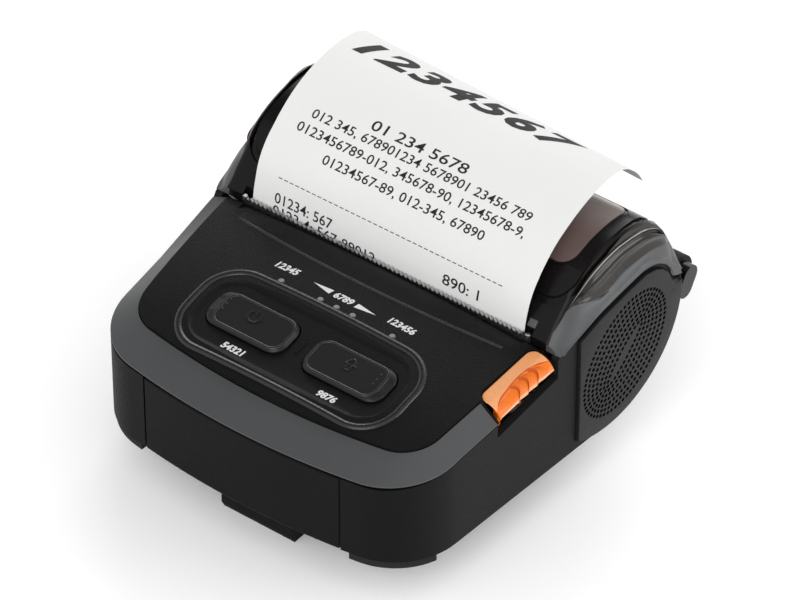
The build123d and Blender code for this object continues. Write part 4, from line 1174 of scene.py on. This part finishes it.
@dataclass
class ReleaseButton:
    """The orange button that frees the cover: a sloped bar with a scoop and three chevron ribs.

    Attributes:
        ends: Where it starts and ends along Y.
        inner: Its inner edge, X before the plane's tilt is added.
        corner: The radius of its two inner corners.
        section: Its outer form across the scoop, X and Z.
        crease: The scoop's inner edge, Y and X.
        ribs: Where the ribs lie along Y.
        bow: How far a rib's middle lies behind its ends.
        depth: The scoop's depth.
        step: The height of a rib.
        crease_width: The length over which a rib rises to its top.
        last_rib: The length of the last rib's slope.
        fall: The power on a rib's slope: 1 for a straight one.
        end_run: How far from the ends the scoop reaches its depth, and the ribs their bow.
        lip: The share of the scoop's width over which it reaches its depth, and a rib its height.
        shoulder: The width and the height of the rounding along the outer edges.
        plane: The tilted plane that the section lies on: its Y, and its rise in X and Z along Y.
        painted_sheen_from: The share of the scoop's width beyond which its rim is coloured with a painted
            sheen, like its ledge.
        shaded: The share of the scoop's width along its crease that is coloured with painted shade.
        wall: The shell's thickness.
        leg: The middle and the size of the leg that works the latch.
    """

    ends: tuple[float, float] = (-15.2, 4.0)
    inner: float = 43.15
    corner: float = 2.3
    section: Profile = (
        (42.9, 44.12), (46.2, 44.0), (47.2, 43.65), (48.1, 43.15), (48.8, 42.5), (49.3, 41.8), (49.7, 41.0),
    )
    crease: Profile = (
        (-15.2, 48.6), (-13.6, 47.6), (-12.0, 47.0), (-8.7, 46.5), (-5.4, 46.2), (-2.0, 46.3), (1.0, 47.0),
        (4.0, 48.2),
    )
    ribs: tuple[float, float, float] = (-8.7, -5.4, -2.1)
    bow: float = 1.5
    depth: float = 0.7
    step: float = 0.75
    crease_width: float = 0.30
    last_rib: float = 3.4
    fall: float = 1.3
    end_run: tuple[float, float] = (3.0, 5.0)
    lip: tuple[float, float] = (0.12, 0.10)
    shoulder: tuple[float, float] = (0.45, 0.3)
    plane: tuple[float, float, float] = (-5.5, 0.045, 0.11)
    painted_sheen_from: float = 0.86
    shaded: float = 0.07
    wall: float = 1.1
    leg: tuple[Point, Point] = ((46.3, -12.75, 38.35), (1.2, 1.1, 8.1))

    def rows(self) -> list[tuple[float, float]]:
        """Spaces the grid's rows so that each rib has a steep front and a long slope behind it.

        Returns:
            For each row its place along Y, and the rib's rise there from 0 to 1.
        """
        first, last = self.ends
        rows = [(first + (self.ribs[0] - first) * i / 20, 0.0) for i in range(21)]
        stops = [*self.ribs, self.ribs[-1] + self.last_rib]
        for start, end in zip(stops, stops[1:]):
            top = start + self.crease_width
            # The slope ends just before the next rib's front, which the grid needs a row for.
            finish = end - 0.05
            rows += [(top + (finish - top) * i / 18, (1.0 - i / 18) ** self.fall) for i in range(19)]
        back = stops[-1]
        return rows + [(back + (last - back) * i / 24, 0.0) for i in range(25)]

    def point(self, y: float, rise: float, share: float) -> Vector:
        """Finds one point of the button's outer surface.

        Args:
            y: The row's place along Y.
            rise: The rib's rise in that row, from 0 to 1.
            share: The place across: 0 at the inner edge, 1 at the scoop's crease and 2 at the outer edge.

        Returns:
            The point in metres.
        """
        deep_run, bow_run = self.end_run
        from_end = min(y - self.ends[0], self.ends[1] - y)
        reach = max(0.0, self.corner - from_end)
        x0 = self.inner + self.corner - math.sqrt(max(0.0, self.corner**2 - reach**2))
        fold = read_profile(self.crease, y)
        x = x0 + (fold - x0) * share if share <= 1.0 else fold + (self.section[-1][0] - fold) * (share - 1.0)
        z = read_profile(self.section, x)
        if share > 1.0:
            inward = share - 1.0
            ease = min(1.0, from_end / deep_run)
            z -= self.depth * ease * min(1.0, inward / self.lip[0]) * (1.0 - inward**3)
            bulge = max(0.0, 1.0 - ((inward - 0.5) / 0.5) ** 2)
            z += self.step * rise * ease * min(1.0, inward / self.lip[1]) * (1.0 - 0.5 * inward**4)
            y += self.bow * bulge * min(1.0, from_end / bow_run)
        # The scoop has no rounding along its inner edge, only at its ends.
        edge = min(from_end, share * (fold - x0)) if share <= 1.0 else from_end
        width, height = self.shoulder
        z -= height * (1.0 - math.sqrt(1.0 - (1.0 - min(1.0, edge / width)) ** 2))
        level, out, up = self.plane
        return Vector((x + out * (y - level), y, z + up * (y - level))) * MM

    def build(self) -> None:
        """Makes the button as one shell with the leg that works the latch."""
        # The columns lie closer together at the inner edge and at the scoop's crease.
        shares = [0.0, 0.03, 0.07, 0.12] + [0.2 + 0.8 * i / 8 for i in range(9)]
        shares += [1.04, 1.08, 1.12] + [1.2 + 0.8 * i / 16 for i in range(17)]
        places = self.rows()
        bm = skin([[self.point(y, rise, share) for share in shares] for y, rise in places], self.wall)
        bm.faces.ensure_lookup_table()
        wide = len(shares) - 1
        for i in range(len(places) - 1):
            front = places[i][1] < 0.1 and places[i + 1][1] > 0.9
            for k in range(wide):
                inward = shares[k] - 1.0
                face = bm.faces[i * wide + k]
                # Material 1 is a painted sheen on the ledge and the outer lip, material 2 a painted shade on
                # the ribs' fronts and the crease.
                if inward < 0.0 or inward > self.painted_sheen_from:
                    face.material_index = 1
                elif front or (inward < self.shaded and 2 < i < len(places) - 4):
                    face.material_index = 2
        middle, size = self.leg
        leg = Matrix.Translation(Vector(middle) * MM) @ Matrix.Diagonal((*size, 1.0))
        bmesh.ops.create_cube(bm, size=MM, matrix=leg)
        smooth_by_angle(bm, 38.0)
        piece = make_piece("release_button_shell", bm, "release", "button_plastic", ORANGE_ACETAL)
        piece.data.materials.append(PAINTED_SHEEN_ACETAL.material())
        piece.data.materials.append(PAINTED_SHADE_ACETAL.material())
        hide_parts("release_button")
        log.info("release button: scoop and %d ribs", len(self.ribs))


@dataclass
class RollCover:
    """The hinged cover with its window, its painted trims and the small parts beside the slot.

    Attributes:
        edge: The rounding of the frame's and the trims' edges.
        window_edge: The rounding of the window's edges.
        strip: How far a face of the frame must look sideways to belong to the brown strip, and its least X.
        tab: The middle of the grey tab on the right front.
        tab_size: Its size.
        tab_edge: The rounding of its edges.
        tab_tilt: Its angle about X in degrees.
        slot_end: The middle of the tear bar's right end, mirrored on the left.
        heads: The heads there: the radius, the height, how far up the middle lies and the upper end's share.
        crest: The cover's middle line from the slot to the hinge, Y and Z.
        seat: The line that the cover closes on, Y and Z.
        trim_top: The trims' upper edge, Y and Z.
        flank: The cover's section beside its plate: the share of its height, and X.
        plate: The share of the cover's height at which its flanks begin.
        ridges: The ridges on that flank: the share of the way down to the trim, the height and the width.
        ridge_rise: How far a ridge one unit high stands out along X and Z.
        ridge_run: Where the ridges start and end along Y.
        ridge_fade: The flank's height below which the ridges grow lower.
        polished: The first ridge's crest, as shares of the way down to the trim, which is glossier and
            coloured with a painted highlight.
        half_width: Half the case's width at Y zero, and its growth along Y.
        mean_half: Half the case's mean width.
        flare: Where along Y the cover starts to widen more, and by what share for each millimetre.
        foot: X of the cover's lower edge where the case is at its mean width.
        proud: How far the cover's lower edge may stand outside the case.
        trim_front: Where the trims start along Y, and the run over which they reach their full width.
        gap: The space between the trims and the seat.
        tuck: How far the trims reach under the flanks along X and Z.
        least: The trims' least height.
        flat: How flat the trims are between their rounded edges: 1 for an ellipse and 2 for a plane.
        walls: The thickness of the ridges' shell and of the trims' shell.
        passes: How many times the trims are smoothed.
        smooth_end: The place along Y behind which they are left as they are.
        lines: The seat and the trims' upper edge as smooth lines, filled when the cover is built.
    """

    edge: float = 0.3
    window_edge: float = 0.35
    strip: tuple[float, float] = (0.30, 48.2)
    tab: Point = (41.3, 7.6, 49.0)
    tab_size: Point = (2.2, 2.0, 0.9)
    tab_edge: float = 0.22
    tab_tilt: float = 48.0
    slot_end: Point = (41.3, 5.62, 46.75)
    heads: tuple[tuple[float, float, float, float], ...] = ((0.62, 0.9, -0.2, 1.0), (0.62, 0.16, 0.33, 0.7))
    crest: Profile = (
        (5.7, 46.9), (8.6, 50.1), (12.0, 53.5), (15.5, 56.8), (19.0, 59.4), (23.0, 61.2), (27.0, 62.2),
        (31.0, 62.6), (35.0, 62.6), (38.5, 62.2), (41.5, 61.1), (44.0, 59.2), (46.1, 56.3), (47.8, 53.0),
        (48.9, 49.8), (49.5, 46.6), (49.8, 43.6),
    )
    seat: Profile = (
        (5.4, 44.2), (19.3, 48.9), (30.0, 51.0), (35.6, 51.8), (39.6, 51.1), (42.6, 49.4), (45.0, 46.8),
        (46.6, 43.4), (60.0, 43.4),
    )
    trim_top: Profile = (
        (5.0, 45.6), (7.8, 48.9), (9.9, 50.7), (14.0, 53.4), (15.5, 53.3), (17.9, 52.8), (21.0, 52.2),
        (24.8, 53.0), (28.8, 54.2), (33.6, 54.9), (39.0, 55.0), (43.5, 54.0), (47.0, 52.5), (52.0, 49.5),
    )
    flank: Profile = (
        (0.0, 52.6), (0.14, 51.3), (0.27, 50.3), (0.47, 49.8), (0.64, 49.2), (0.735, 48.9), (0.76, 48.5),
        (0.85, 48.1), (0.95, 47.6),
    )
    plate: float = 0.85
    ridges: tuple[Point, ...] = ((0.08, 0.62, 0.06), (0.44, 0.70, 0.13), (0.98, 0.25, 0.20))
    ridge_rise: tuple[float, float] = (0.8, 0.6)
    ridge_run: tuple[float, float] = (10.5, 46.8)
    ridge_fade: float = 3.0
    polished: tuple[float, float] = (0.02, 0.075)
    half_width: tuple[float, float] = (50.0, 0.0565)
    mean_half: float = 51.4
    flare: tuple[float, float] = (30.0, 0.0014)
    foot: float = 52.35
    proud: float = 0.4
    trim_front: tuple[float, float] = (5.4, 2.2)
    gap: float = 0.05
    tuck: tuple[float, float] = (0.1, 0.15)
    least: float = 0.1
    flat: float = 1.3
    walls: tuple[float, float] = (0.5, 0.6)
    passes: int = 200
    smooth_end: float = 27.0
    lines: list[list[Place]] = field(default_factory=list)

    def build(self) -> None:
        """Makes the frame, the window, the trims, the tab and the tear bar's ends."""
        for line in (self.seat, self.trim_top):
            spots = spline_points(line, count=160)
            self.lines.append([(spot.y / MM, spot.z / MM) for spot in spots])
        self.colour_strip(carry("lid_frame", self.edge, segments=3, even=False))
        carry("lid_window", self.window_edge, segments=3, even=False)
        carry("lid_trim_right", self.edge, segments=3, even=False)
        carry("lid_trim_left", self.edge, segments=3, even=False)
        for side in (-1, 1):
            self.flank_skins(side)
        self.tear_bar_ends()
        self.grey_tab()
        log.info("roll cover: frame, window, trims, tab and the tear bar's ends")

    def colour_strip(self, piece: bpy.types.Object) -> None:
        """Gives the frame's steep sides the brown of thin smoked plastic.

        Args:
            piece: The frame.
        """
        piece.data.materials.append(STRIP_PC.material())
        sideways, from_x = self.strip
        bm = bmesh.new()
        bm.from_mesh(piece.data)
        for face in bm.faces:
            outside = abs(face.calc_center_median().x) / MM > from_x
            face.material_index = int(outside and abs(face.normal.x) > sideways and face.normal.z > -0.2)
        bm.to_mesh(piece.data)
        bm.free()

    def section(self, y: float, z: float) -> tuple[float, float, float, float]:
        """Finds what the cover's cross-section at one place of its middle line depends on.

        Args:
            y: The place along Y.
            z: The height of the middle line there.

        Returns:
            The seat's height, the width's scale, the trim's upper height and the trim's inner X.
        """
        base = read_profile(self.lines[0], y)
        case_half = self.half_width[0] + self.half_width[1] * y
        scale = case_half / self.mean_half * (1.0 + self.flare[1] * max(0.0, y - self.flare[0]))
        high = min(read_profile(self.lines[1], y), base + self.plate * (z - base))
        # The least height keeps the share in bounds at the hinge, where the middle line meets the seat.
        share = (high - base) / max(0.2, z - base)
        return base, scale, high, min(smooth_profile(self.flank, share) * scale, case_half)

    def ridge_row(self, side: int, y: float, z: float, steps: list[float]) -> list[Vector]:
        """Finds the ridged flank at one place of the cover's middle line.

        Args:
            side: 1 for the right and -1 for the left.
            y: The place along Y.
            z: The height of the middle line there.
            steps: The row's points as shares of the way from the plate down to the trim.

        Returns:
            The row's points in metres.
        """
        base, scale, high, _ = self.section(y, z)
        top = base + self.plate * (z - base)
        ease = min(1.0, (top - high) / self.ridge_fade)
        row = []
        for v in steps:
            height = top + (high - top) * v
            x = smooth_profile(self.flank, (height - base) / (z - base)) * scale
            waves = [tall * math.exp(-(((v - place) / wide) ** 2)) for place, tall, wide in self.ridges]
            out, up = (part * ease * sum(waves) for part in self.ridge_rise)
            row.append(Vector((side * (x + out), y, height + up)) * MM)
        return row

    def trim_row(self, side: int, y: float, z: float, steps: list[float]) -> list[Vector]:
        """Finds the convex painted trim at one place of the cover's middle line.

        Args:
            side: 1 for the right and -1 for the left.
            y: The place along Y.
            z: The height of the middle line there.
            steps: The row's points as shares of the quarter turn from its upper edge to its lower one.

        Returns:
            The row's points in metres.
        """
        base, scale, high, inner = self.section(y, z)
        end, low = min(1.0, (y - self.trim_front[0]) / self.trim_front[1]), base + self.gap
        foot = min(self.foot * scale, self.half_width[0] + self.proud + self.half_width[1] * y)
        outer = inner + (foot - inner) * math.sqrt(1.0 - (1.0 - end) ** 2)
        start, tall = inner - self.tuck[0], max(self.least, high + self.tuck[1] - low)
        row = []
        for v in steps:
            out, up = math.sin(v * math.pi / 2) ** self.flat, math.cos(v * math.pi / 2) ** self.flat
            row.append(Vector((side * (start + (outer - start) * out), y, low + tall * up)) * MM)
        return row

    def flank_skins(self, side: int) -> None:
        """Makes the smoked ridges and the convex painted trim on one side of the cover.

        Args:
            side: 1 for the right and -1 for the left.
        """
        name = "right" if side > 0 else "left"
        steps = [0.02 * i for i in range(51)]
        ridge_rows, trim_rows = [], []
        for spot in spline_points(self.crest, count=130):
            y, z = spot.y / MM, spot.z / MM
            if self.ridge_run[0] < y < self.ridge_run[1]:
                ridge_rows.append(self.ridge_row(side, y, z, steps))
            if y > self.trim_front[0]:
                trim_rows.append(self.trim_row(side, y, z, steps))
        bm = skin(ridge_rows, self.walls[0])
        smooth_by_angle(bm, 70.0)
        piece = make_piece(f"cover_ridges_{name}", bm, "lid", "lid_plastic", STRIP_PC)
        piece.data.materials.append(CREST_HIGHLIGHT_PC.material())
        # The shell's outer faces come first, in the order of its rows.
        wide = len(steps) - 1
        # The crest's faces take the second material, a painted highlight.
        for i in range((len(ridge_rows) - 1) * wide):
            on_crest = self.polished[0] < steps[i % wide] < self.polished[1]
            piece.data.polygons[i].material_index = int(on_crest)
        bm = skin(trim_rows, self.walls[1], self.passes, self.smooth_end)
        smooth_by_angle(bm, 70.0)
        make_piece(f"cover_trim_skin_{name}", bm, "lid", "trim_plastic", TRIM_PAINT)

    def tear_bar_ends(self) -> None:
        """Makes the bright round heads that hold the tear bar."""
        bm = bmesh.new()
        x, y, z = self.slot_end
        for side in (-1, 1):
            for radius, height, up, top in self.heads:
                upright_bar(bm, (side * x, y, z + up), radius, height, top)
        smooth_by_angle(bm, 40.0)
        make_piece("tear_bar_ends", bm, "printer", "steel", STAINLESS)

    def grey_tab(self) -> None:
        """Makes the small grey catch at the cover's right front corner."""
        bm = bmesh.new()
        turn = Matrix.Rotation(math.radians(self.tab_tilt), 4, "X")
        place = Matrix.Translation(Vector(self.tab) * MM) @ turn
        bmesh.ops.create_cube(bm, size=MM, matrix=place @ Matrix.Diagonal((*self.tab_size, 1.0)))
        bevel_edges(bm, bm.edges[:], self.tab_edge, segments=3)
        smooth_by_angle(bm, 50.0)
        make_piece("cover_tab", bm, "lid", "trim_plastic", TRIM_PAINT)


@dataclass
class Receipt:
    """The printed receipt that curls out of the slot over the cover.

    Attributes:
        half: Half the paper's width.
        thickness: The paper's thickness.
        left: The left edge's points, Y and Z, from the slot upwards.
        right: The right edge's points, which lie a little lower.
        title: The large numerals: what they say, their width, and their middle across and along the paper.
        lines: The same for the lines of small numerals.
        height: The height of the large numerals and of the small ones.
        last: The line that has only half left the slot, like the others.
        cut: How far below its middle that line is cut off.
        dashes: The row of dashes: how many there are, their pitch, the first one's X and the row's place.
        dash: Half a dash's length and half its width.
        lift: How far the print stands off the paper.
        runs: Both edges as evenly spaced points, filled when the receipt is built.
    """

    half: float = 39.75
    thickness: float = 0.1
    left: Profile = (
        (6.38, 44.9), (6.6, 47.4), (7.6, 52.0), (9.0, 56.3), (11.6, 60.4), (14.7, 63.4), (18.1, 66.2),
        (22.0, 68.7), (26.3, 70.6), (31.6, 72.1), (37.6, 72.75), (42.8, 72.4), (47.4, 71.1), (50.8, 68.7),
        (52.55, 65.9),
    )
    right: Profile = (
        (6.38, 44.9), (6.6, 47.4), (7.6, 51.6), (9.1, 55.3), (11.8, 59.0), (15.0, 62.2), (18.4, 64.8),
        (22.6, 67.0), (27.3, 68.9), (33.0, 70.4), (39.0, 71.0), (44.0, 70.0), (47.8, 67.3), (50.4, 64.3),
        (51.9, 61.7),
    )
    title: Word = ("1234567", 64.0, -3.6, 50.4)
    lines: tuple[Word, ...] = (
        ("01 234 5678", 27.5, -3.4, 30.9),
        ("012 345, 678901234 5678901 23456 789", 63.0, -0.6, 27.0),
        ("0123456789-012, 345678-90, 12345678-9,", 65.5, -1.2, 22.9),
        ("01234567-89, 012-345, 67890", 46.5, -0.6, 18.3),
        ("01234: 567", 17.0, -25.0, 4.7),
        ("890: 1", 10.4, 21.0, 4.9),
    )
    height: tuple[float, float] = (6.8, 2.8)
    last: Word = ("0123 4: 567-89012", 30.3, -18.6, 1.3)
    cut: float = 0.75
    dashes: tuple[int, float, float, float] = (40, 1.64, -32.8, 9.9)
    dash: tuple[float, float] = (0.55, 0.11)
    lift: float = 0.03
    runs: list[list[Vector]] = field(default_factory=list)

    def length(self) -> float:
        """The paper's mean length in millimetres."""
        return sum((b - a).length for run in self.runs for a, b in zip(run, run[1:])) / 2 / MM

    def at(self, x: float, share: float, lift: float = 0.0) -> Vector:
        """Finds a point of the curl.

        Args:
            x: The place across the paper in millimetres.
            share: The share of the length from the slot.
            lift: The distance off the printed side in millimetres.

        Returns:
            The point in metres.
        """
        across = (x + self.half) / (2 * self.half)
        # Just short of the end, so that there is always a next point.
        place = min(max(share, 0.0), 0.9999) * (len(self.runs[0]) - 1)
        low = int(place)
        ends = [self.runs[0][i].lerp(self.runs[1][i], across) for i in (low, low + 1)]
        ahead = (ends[1] - ends[0]).normalized()
        spot = ends[0].lerp(ends[1], place - low) + Vector((0.0, -ahead.z, ahead.y)) * lift * MM
        return Vector((x * MM, spot.y, spot.z))

    def build(self) -> None:
        """Makes the tongue and the print on it."""
        self.runs = [spline_points(line, count=240) for line in (self.left, self.right)]
        bm = bmesh.new()
        bmesh.ops.create_grid(bm, x_segments=24, y_segments=110, size=1.0)
        for vert in bm.verts:
            vert.co = self.at(vert.co.x * self.half, (vert.co.y + 1.0) / 2.0)
        smooth_by_angle(bm, 60.0)
        tongue = make_piece("receipt_tongue", bm, BODY_OF["paper_tongue"], "paper", THERMAL_PAPER)
        wall = tongue.modifiers.new("thickness", "SOLIDIFY")
        wall.thickness = self.thickness * MM
        wall.offset = 1.0
        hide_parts("paper_tongue")
        self.print_lines()
        log.info("receipt: %.1f mm of paper shows", self.length())

    def print_lines(self) -> None:
        """Prints plain numerals where the receipt has its lines."""
        length, lift = self.length(), self.thickness + self.lift
        large, small = self.height
        words, width, x, y = self.title
        marks = [Mark(text_mesh(words, large, width, slant=0.3, bold=0.36, spacing=1.12), x, y)]
        for words, width, x, y in (*self.lines, self.last):
            marks.append(Mark(text_mesh(words, small, width, bold=0.03), x, y))
        bm = marks[-1].bm
        everything, low = bm.verts[:] + bm.edges[:] + bm.faces[:], Vector((0.0, -self.cut, 0.0))
        bmesh.ops.bisect_plane(bm, geom=everything, plane_co=low, plane_no=(0, 1, 0), clear_inner=True)
        count, pitch, first, y = self.dashes
        a, b = self.dash
        for i in range(count):
            marks.append(Mark(flat_shape([(-a, -b), (a, -b), (a, b), (-a, b)]), first + pitch * i, y))

        def place(x: float, y: float) -> Vector:
            """Finds the paper's printed side at one place, X and the length from the slot in millimetres."""
            return self.at(x, y / length, lift)

        lay_marks("receipt_print", marks, place, BODY_OF["paper_tongue"], "paper", THERMAL_BLACK)


@dataclass(frozen=True)
class Softbox:
    """One square softbox.

    Attributes:
        name: The light's name.
        place: Its place in metres.
        height: The height over the origin that it faces, in metres.
        size: Its side in metres.
        power: Its power in watts.
    """

    name: str
    place: Point
    height: float
    size: float
    power: float

    def hang(self) -> None:
        """Hangs the softbox and turns it to the printer."""
        light = bpy.data.lights.new(self.name, "AREA")
        light.shape = "SQUARE"
        light.size = self.size
        light.energy = self.power
        lamp = new_object(self.name, light)
        lamp.location = self.place
        ahead = Vector((0.0, 0.0, self.height)) - Vector(self.place)
        lamp.rotation_euler = ahead.to_track_quat("-Z", "Y").to_euler()


@dataclass
class Studio:
    """The floor, the lights and the camera.

    Attributes:
        eye: The camera's place in millimetres.
        target: The point that it looks at.
        lens: Its focal length in millimetres.
        sensor: Its sensor's width in millimetres.
        softboxes: The three lights.
        dim_panel: The direction of the tent roof's dim panel.
        dim_edge: The cosines of the angles from its middle where the dimming starts and is full.
        tent_light: The tent's brightness outside the panel and in it.
        half_floor: Half the floor's side in metres.
        floor_glow: The floor's own light, for what the tent's white walls send in under the printer.
    """

    eye: Point = (607.238, -776.528, 866.929)
    target: Point = (10.9326, -2.7681, 47.2334)
    lens: float = 249.75
    sensor: float = 36.0
    softboxes: tuple[Softbox, ...] = (
        Softbox("rear", (-0.72, 1.30, 1.00), 0.03, 1.0, 8.0),
        Softbox("front", (0.45, -1.3, 0.95), 0.05, 1.1, 8.0),
        Softbox("right", (1.2, 0.60, 0.45), 0.03, 0.7, 5.0),
    )
    dim_panel: Point = (-0.46, 0.24, 0.855)
    dim_edge: tuple[float, float] = (0.80, 0.96)
    tent_light: tuple[float, float] = (0.92, 0.22)
    half_floor: float = 6.0
    floor_glow: float = 0.10

    def build(self) -> None:
        """Makes the floor, the lights, the world and the camera."""
        self.floor()
        for softbox in self.softboxes:
            softbox.hang()
        self.tent()
        self.camera()
        bpy.context.scene.view_settings.view_transform = "Standard"
        log.info("studio: floor, %d softboxes and the camera", len(self.softboxes))

    def tent(self) -> None:
        """Makes the white light tent, whose roof has a dim panel that the flat plastics mirror."""
        world = bpy.data.worlds.new("studio")
        bpy.context.scene.world = world
        world.use_nodes = True
        tree = world.node_tree
        tree.nodes["Background"].inputs["Color"].default_value = (1.0, 1.0, 1.0, 1.0)
        place = add_node(tree, "ShaderNodeTexCoord")
        directions = {0: place.outputs["Generated"], 1: self.dim_panel}
        near = add_node(tree, "ShaderNodeVectorMath", directions, operation="DOT_PRODUCT")
        light = map_range(tree, near.outputs["Value"], self.dim_edge, self.tent_light, "SMOOTHSTEP")
        tree.links.new(light, tree.nodes["Background"].inputs["Strength"])

    def floor(self) -> None:
        """Makes the pale floor."""
        bm = bmesh.new()
        bmesh.ops.create_grid(bm, x_segments=1, y_segments=1, size=self.half_floor)
        mesh = bpy.data.meshes.new("floor")
        bm.to_mesh(mesh)
        bm.free()
        floor = new_object("floor", mesh)
        material = bpy.data.materials.new("pale_paper_floor")
        material.use_nodes = True
        shader = material.node_tree.nodes["Principled BSDF"]
        shader.inputs["Base Color"].default_value = linear("#fcfcfc")
        shader.inputs["Roughness"].default_value = 0.9
        shader.inputs["Emission Color"].default_value = (1.0, 1.0, 1.0, 1.0)
        shader.inputs["Emission Strength"].default_value = self.floor_glow
        mesh.materials.append(material)

    def camera(self) -> None:
        """Places the camera at the photograph's viewpoint."""
        data = bpy.data.cameras.new("camera")
        data.lens = self.lens
        data.sensor_width = self.sensor
        camera = new_object("camera", data)
        eye, target = Vector(self.eye) * MM, Vector(self.target) * MM
        camera.location = eye
        camera.rotation_euler = (target - eye).to_track_quat("-Z", "Y").to_euler()
        bpy.context.scene.camera = camera


def main() -> None:
    """Builds the printer's sub-assemblies in order."""
    logging.basicConfig(level=logging.INFO, format="%(name)s: %(message)s")
    dress_inner_nodes(frame["nodes"])
    LowerBody().build()
    ControlPanel().build()
    ReleaseButton().build()
    RollCover().build()
    Receipt().build()
    Studio().build()


if __name__ == "__main__":
    main()
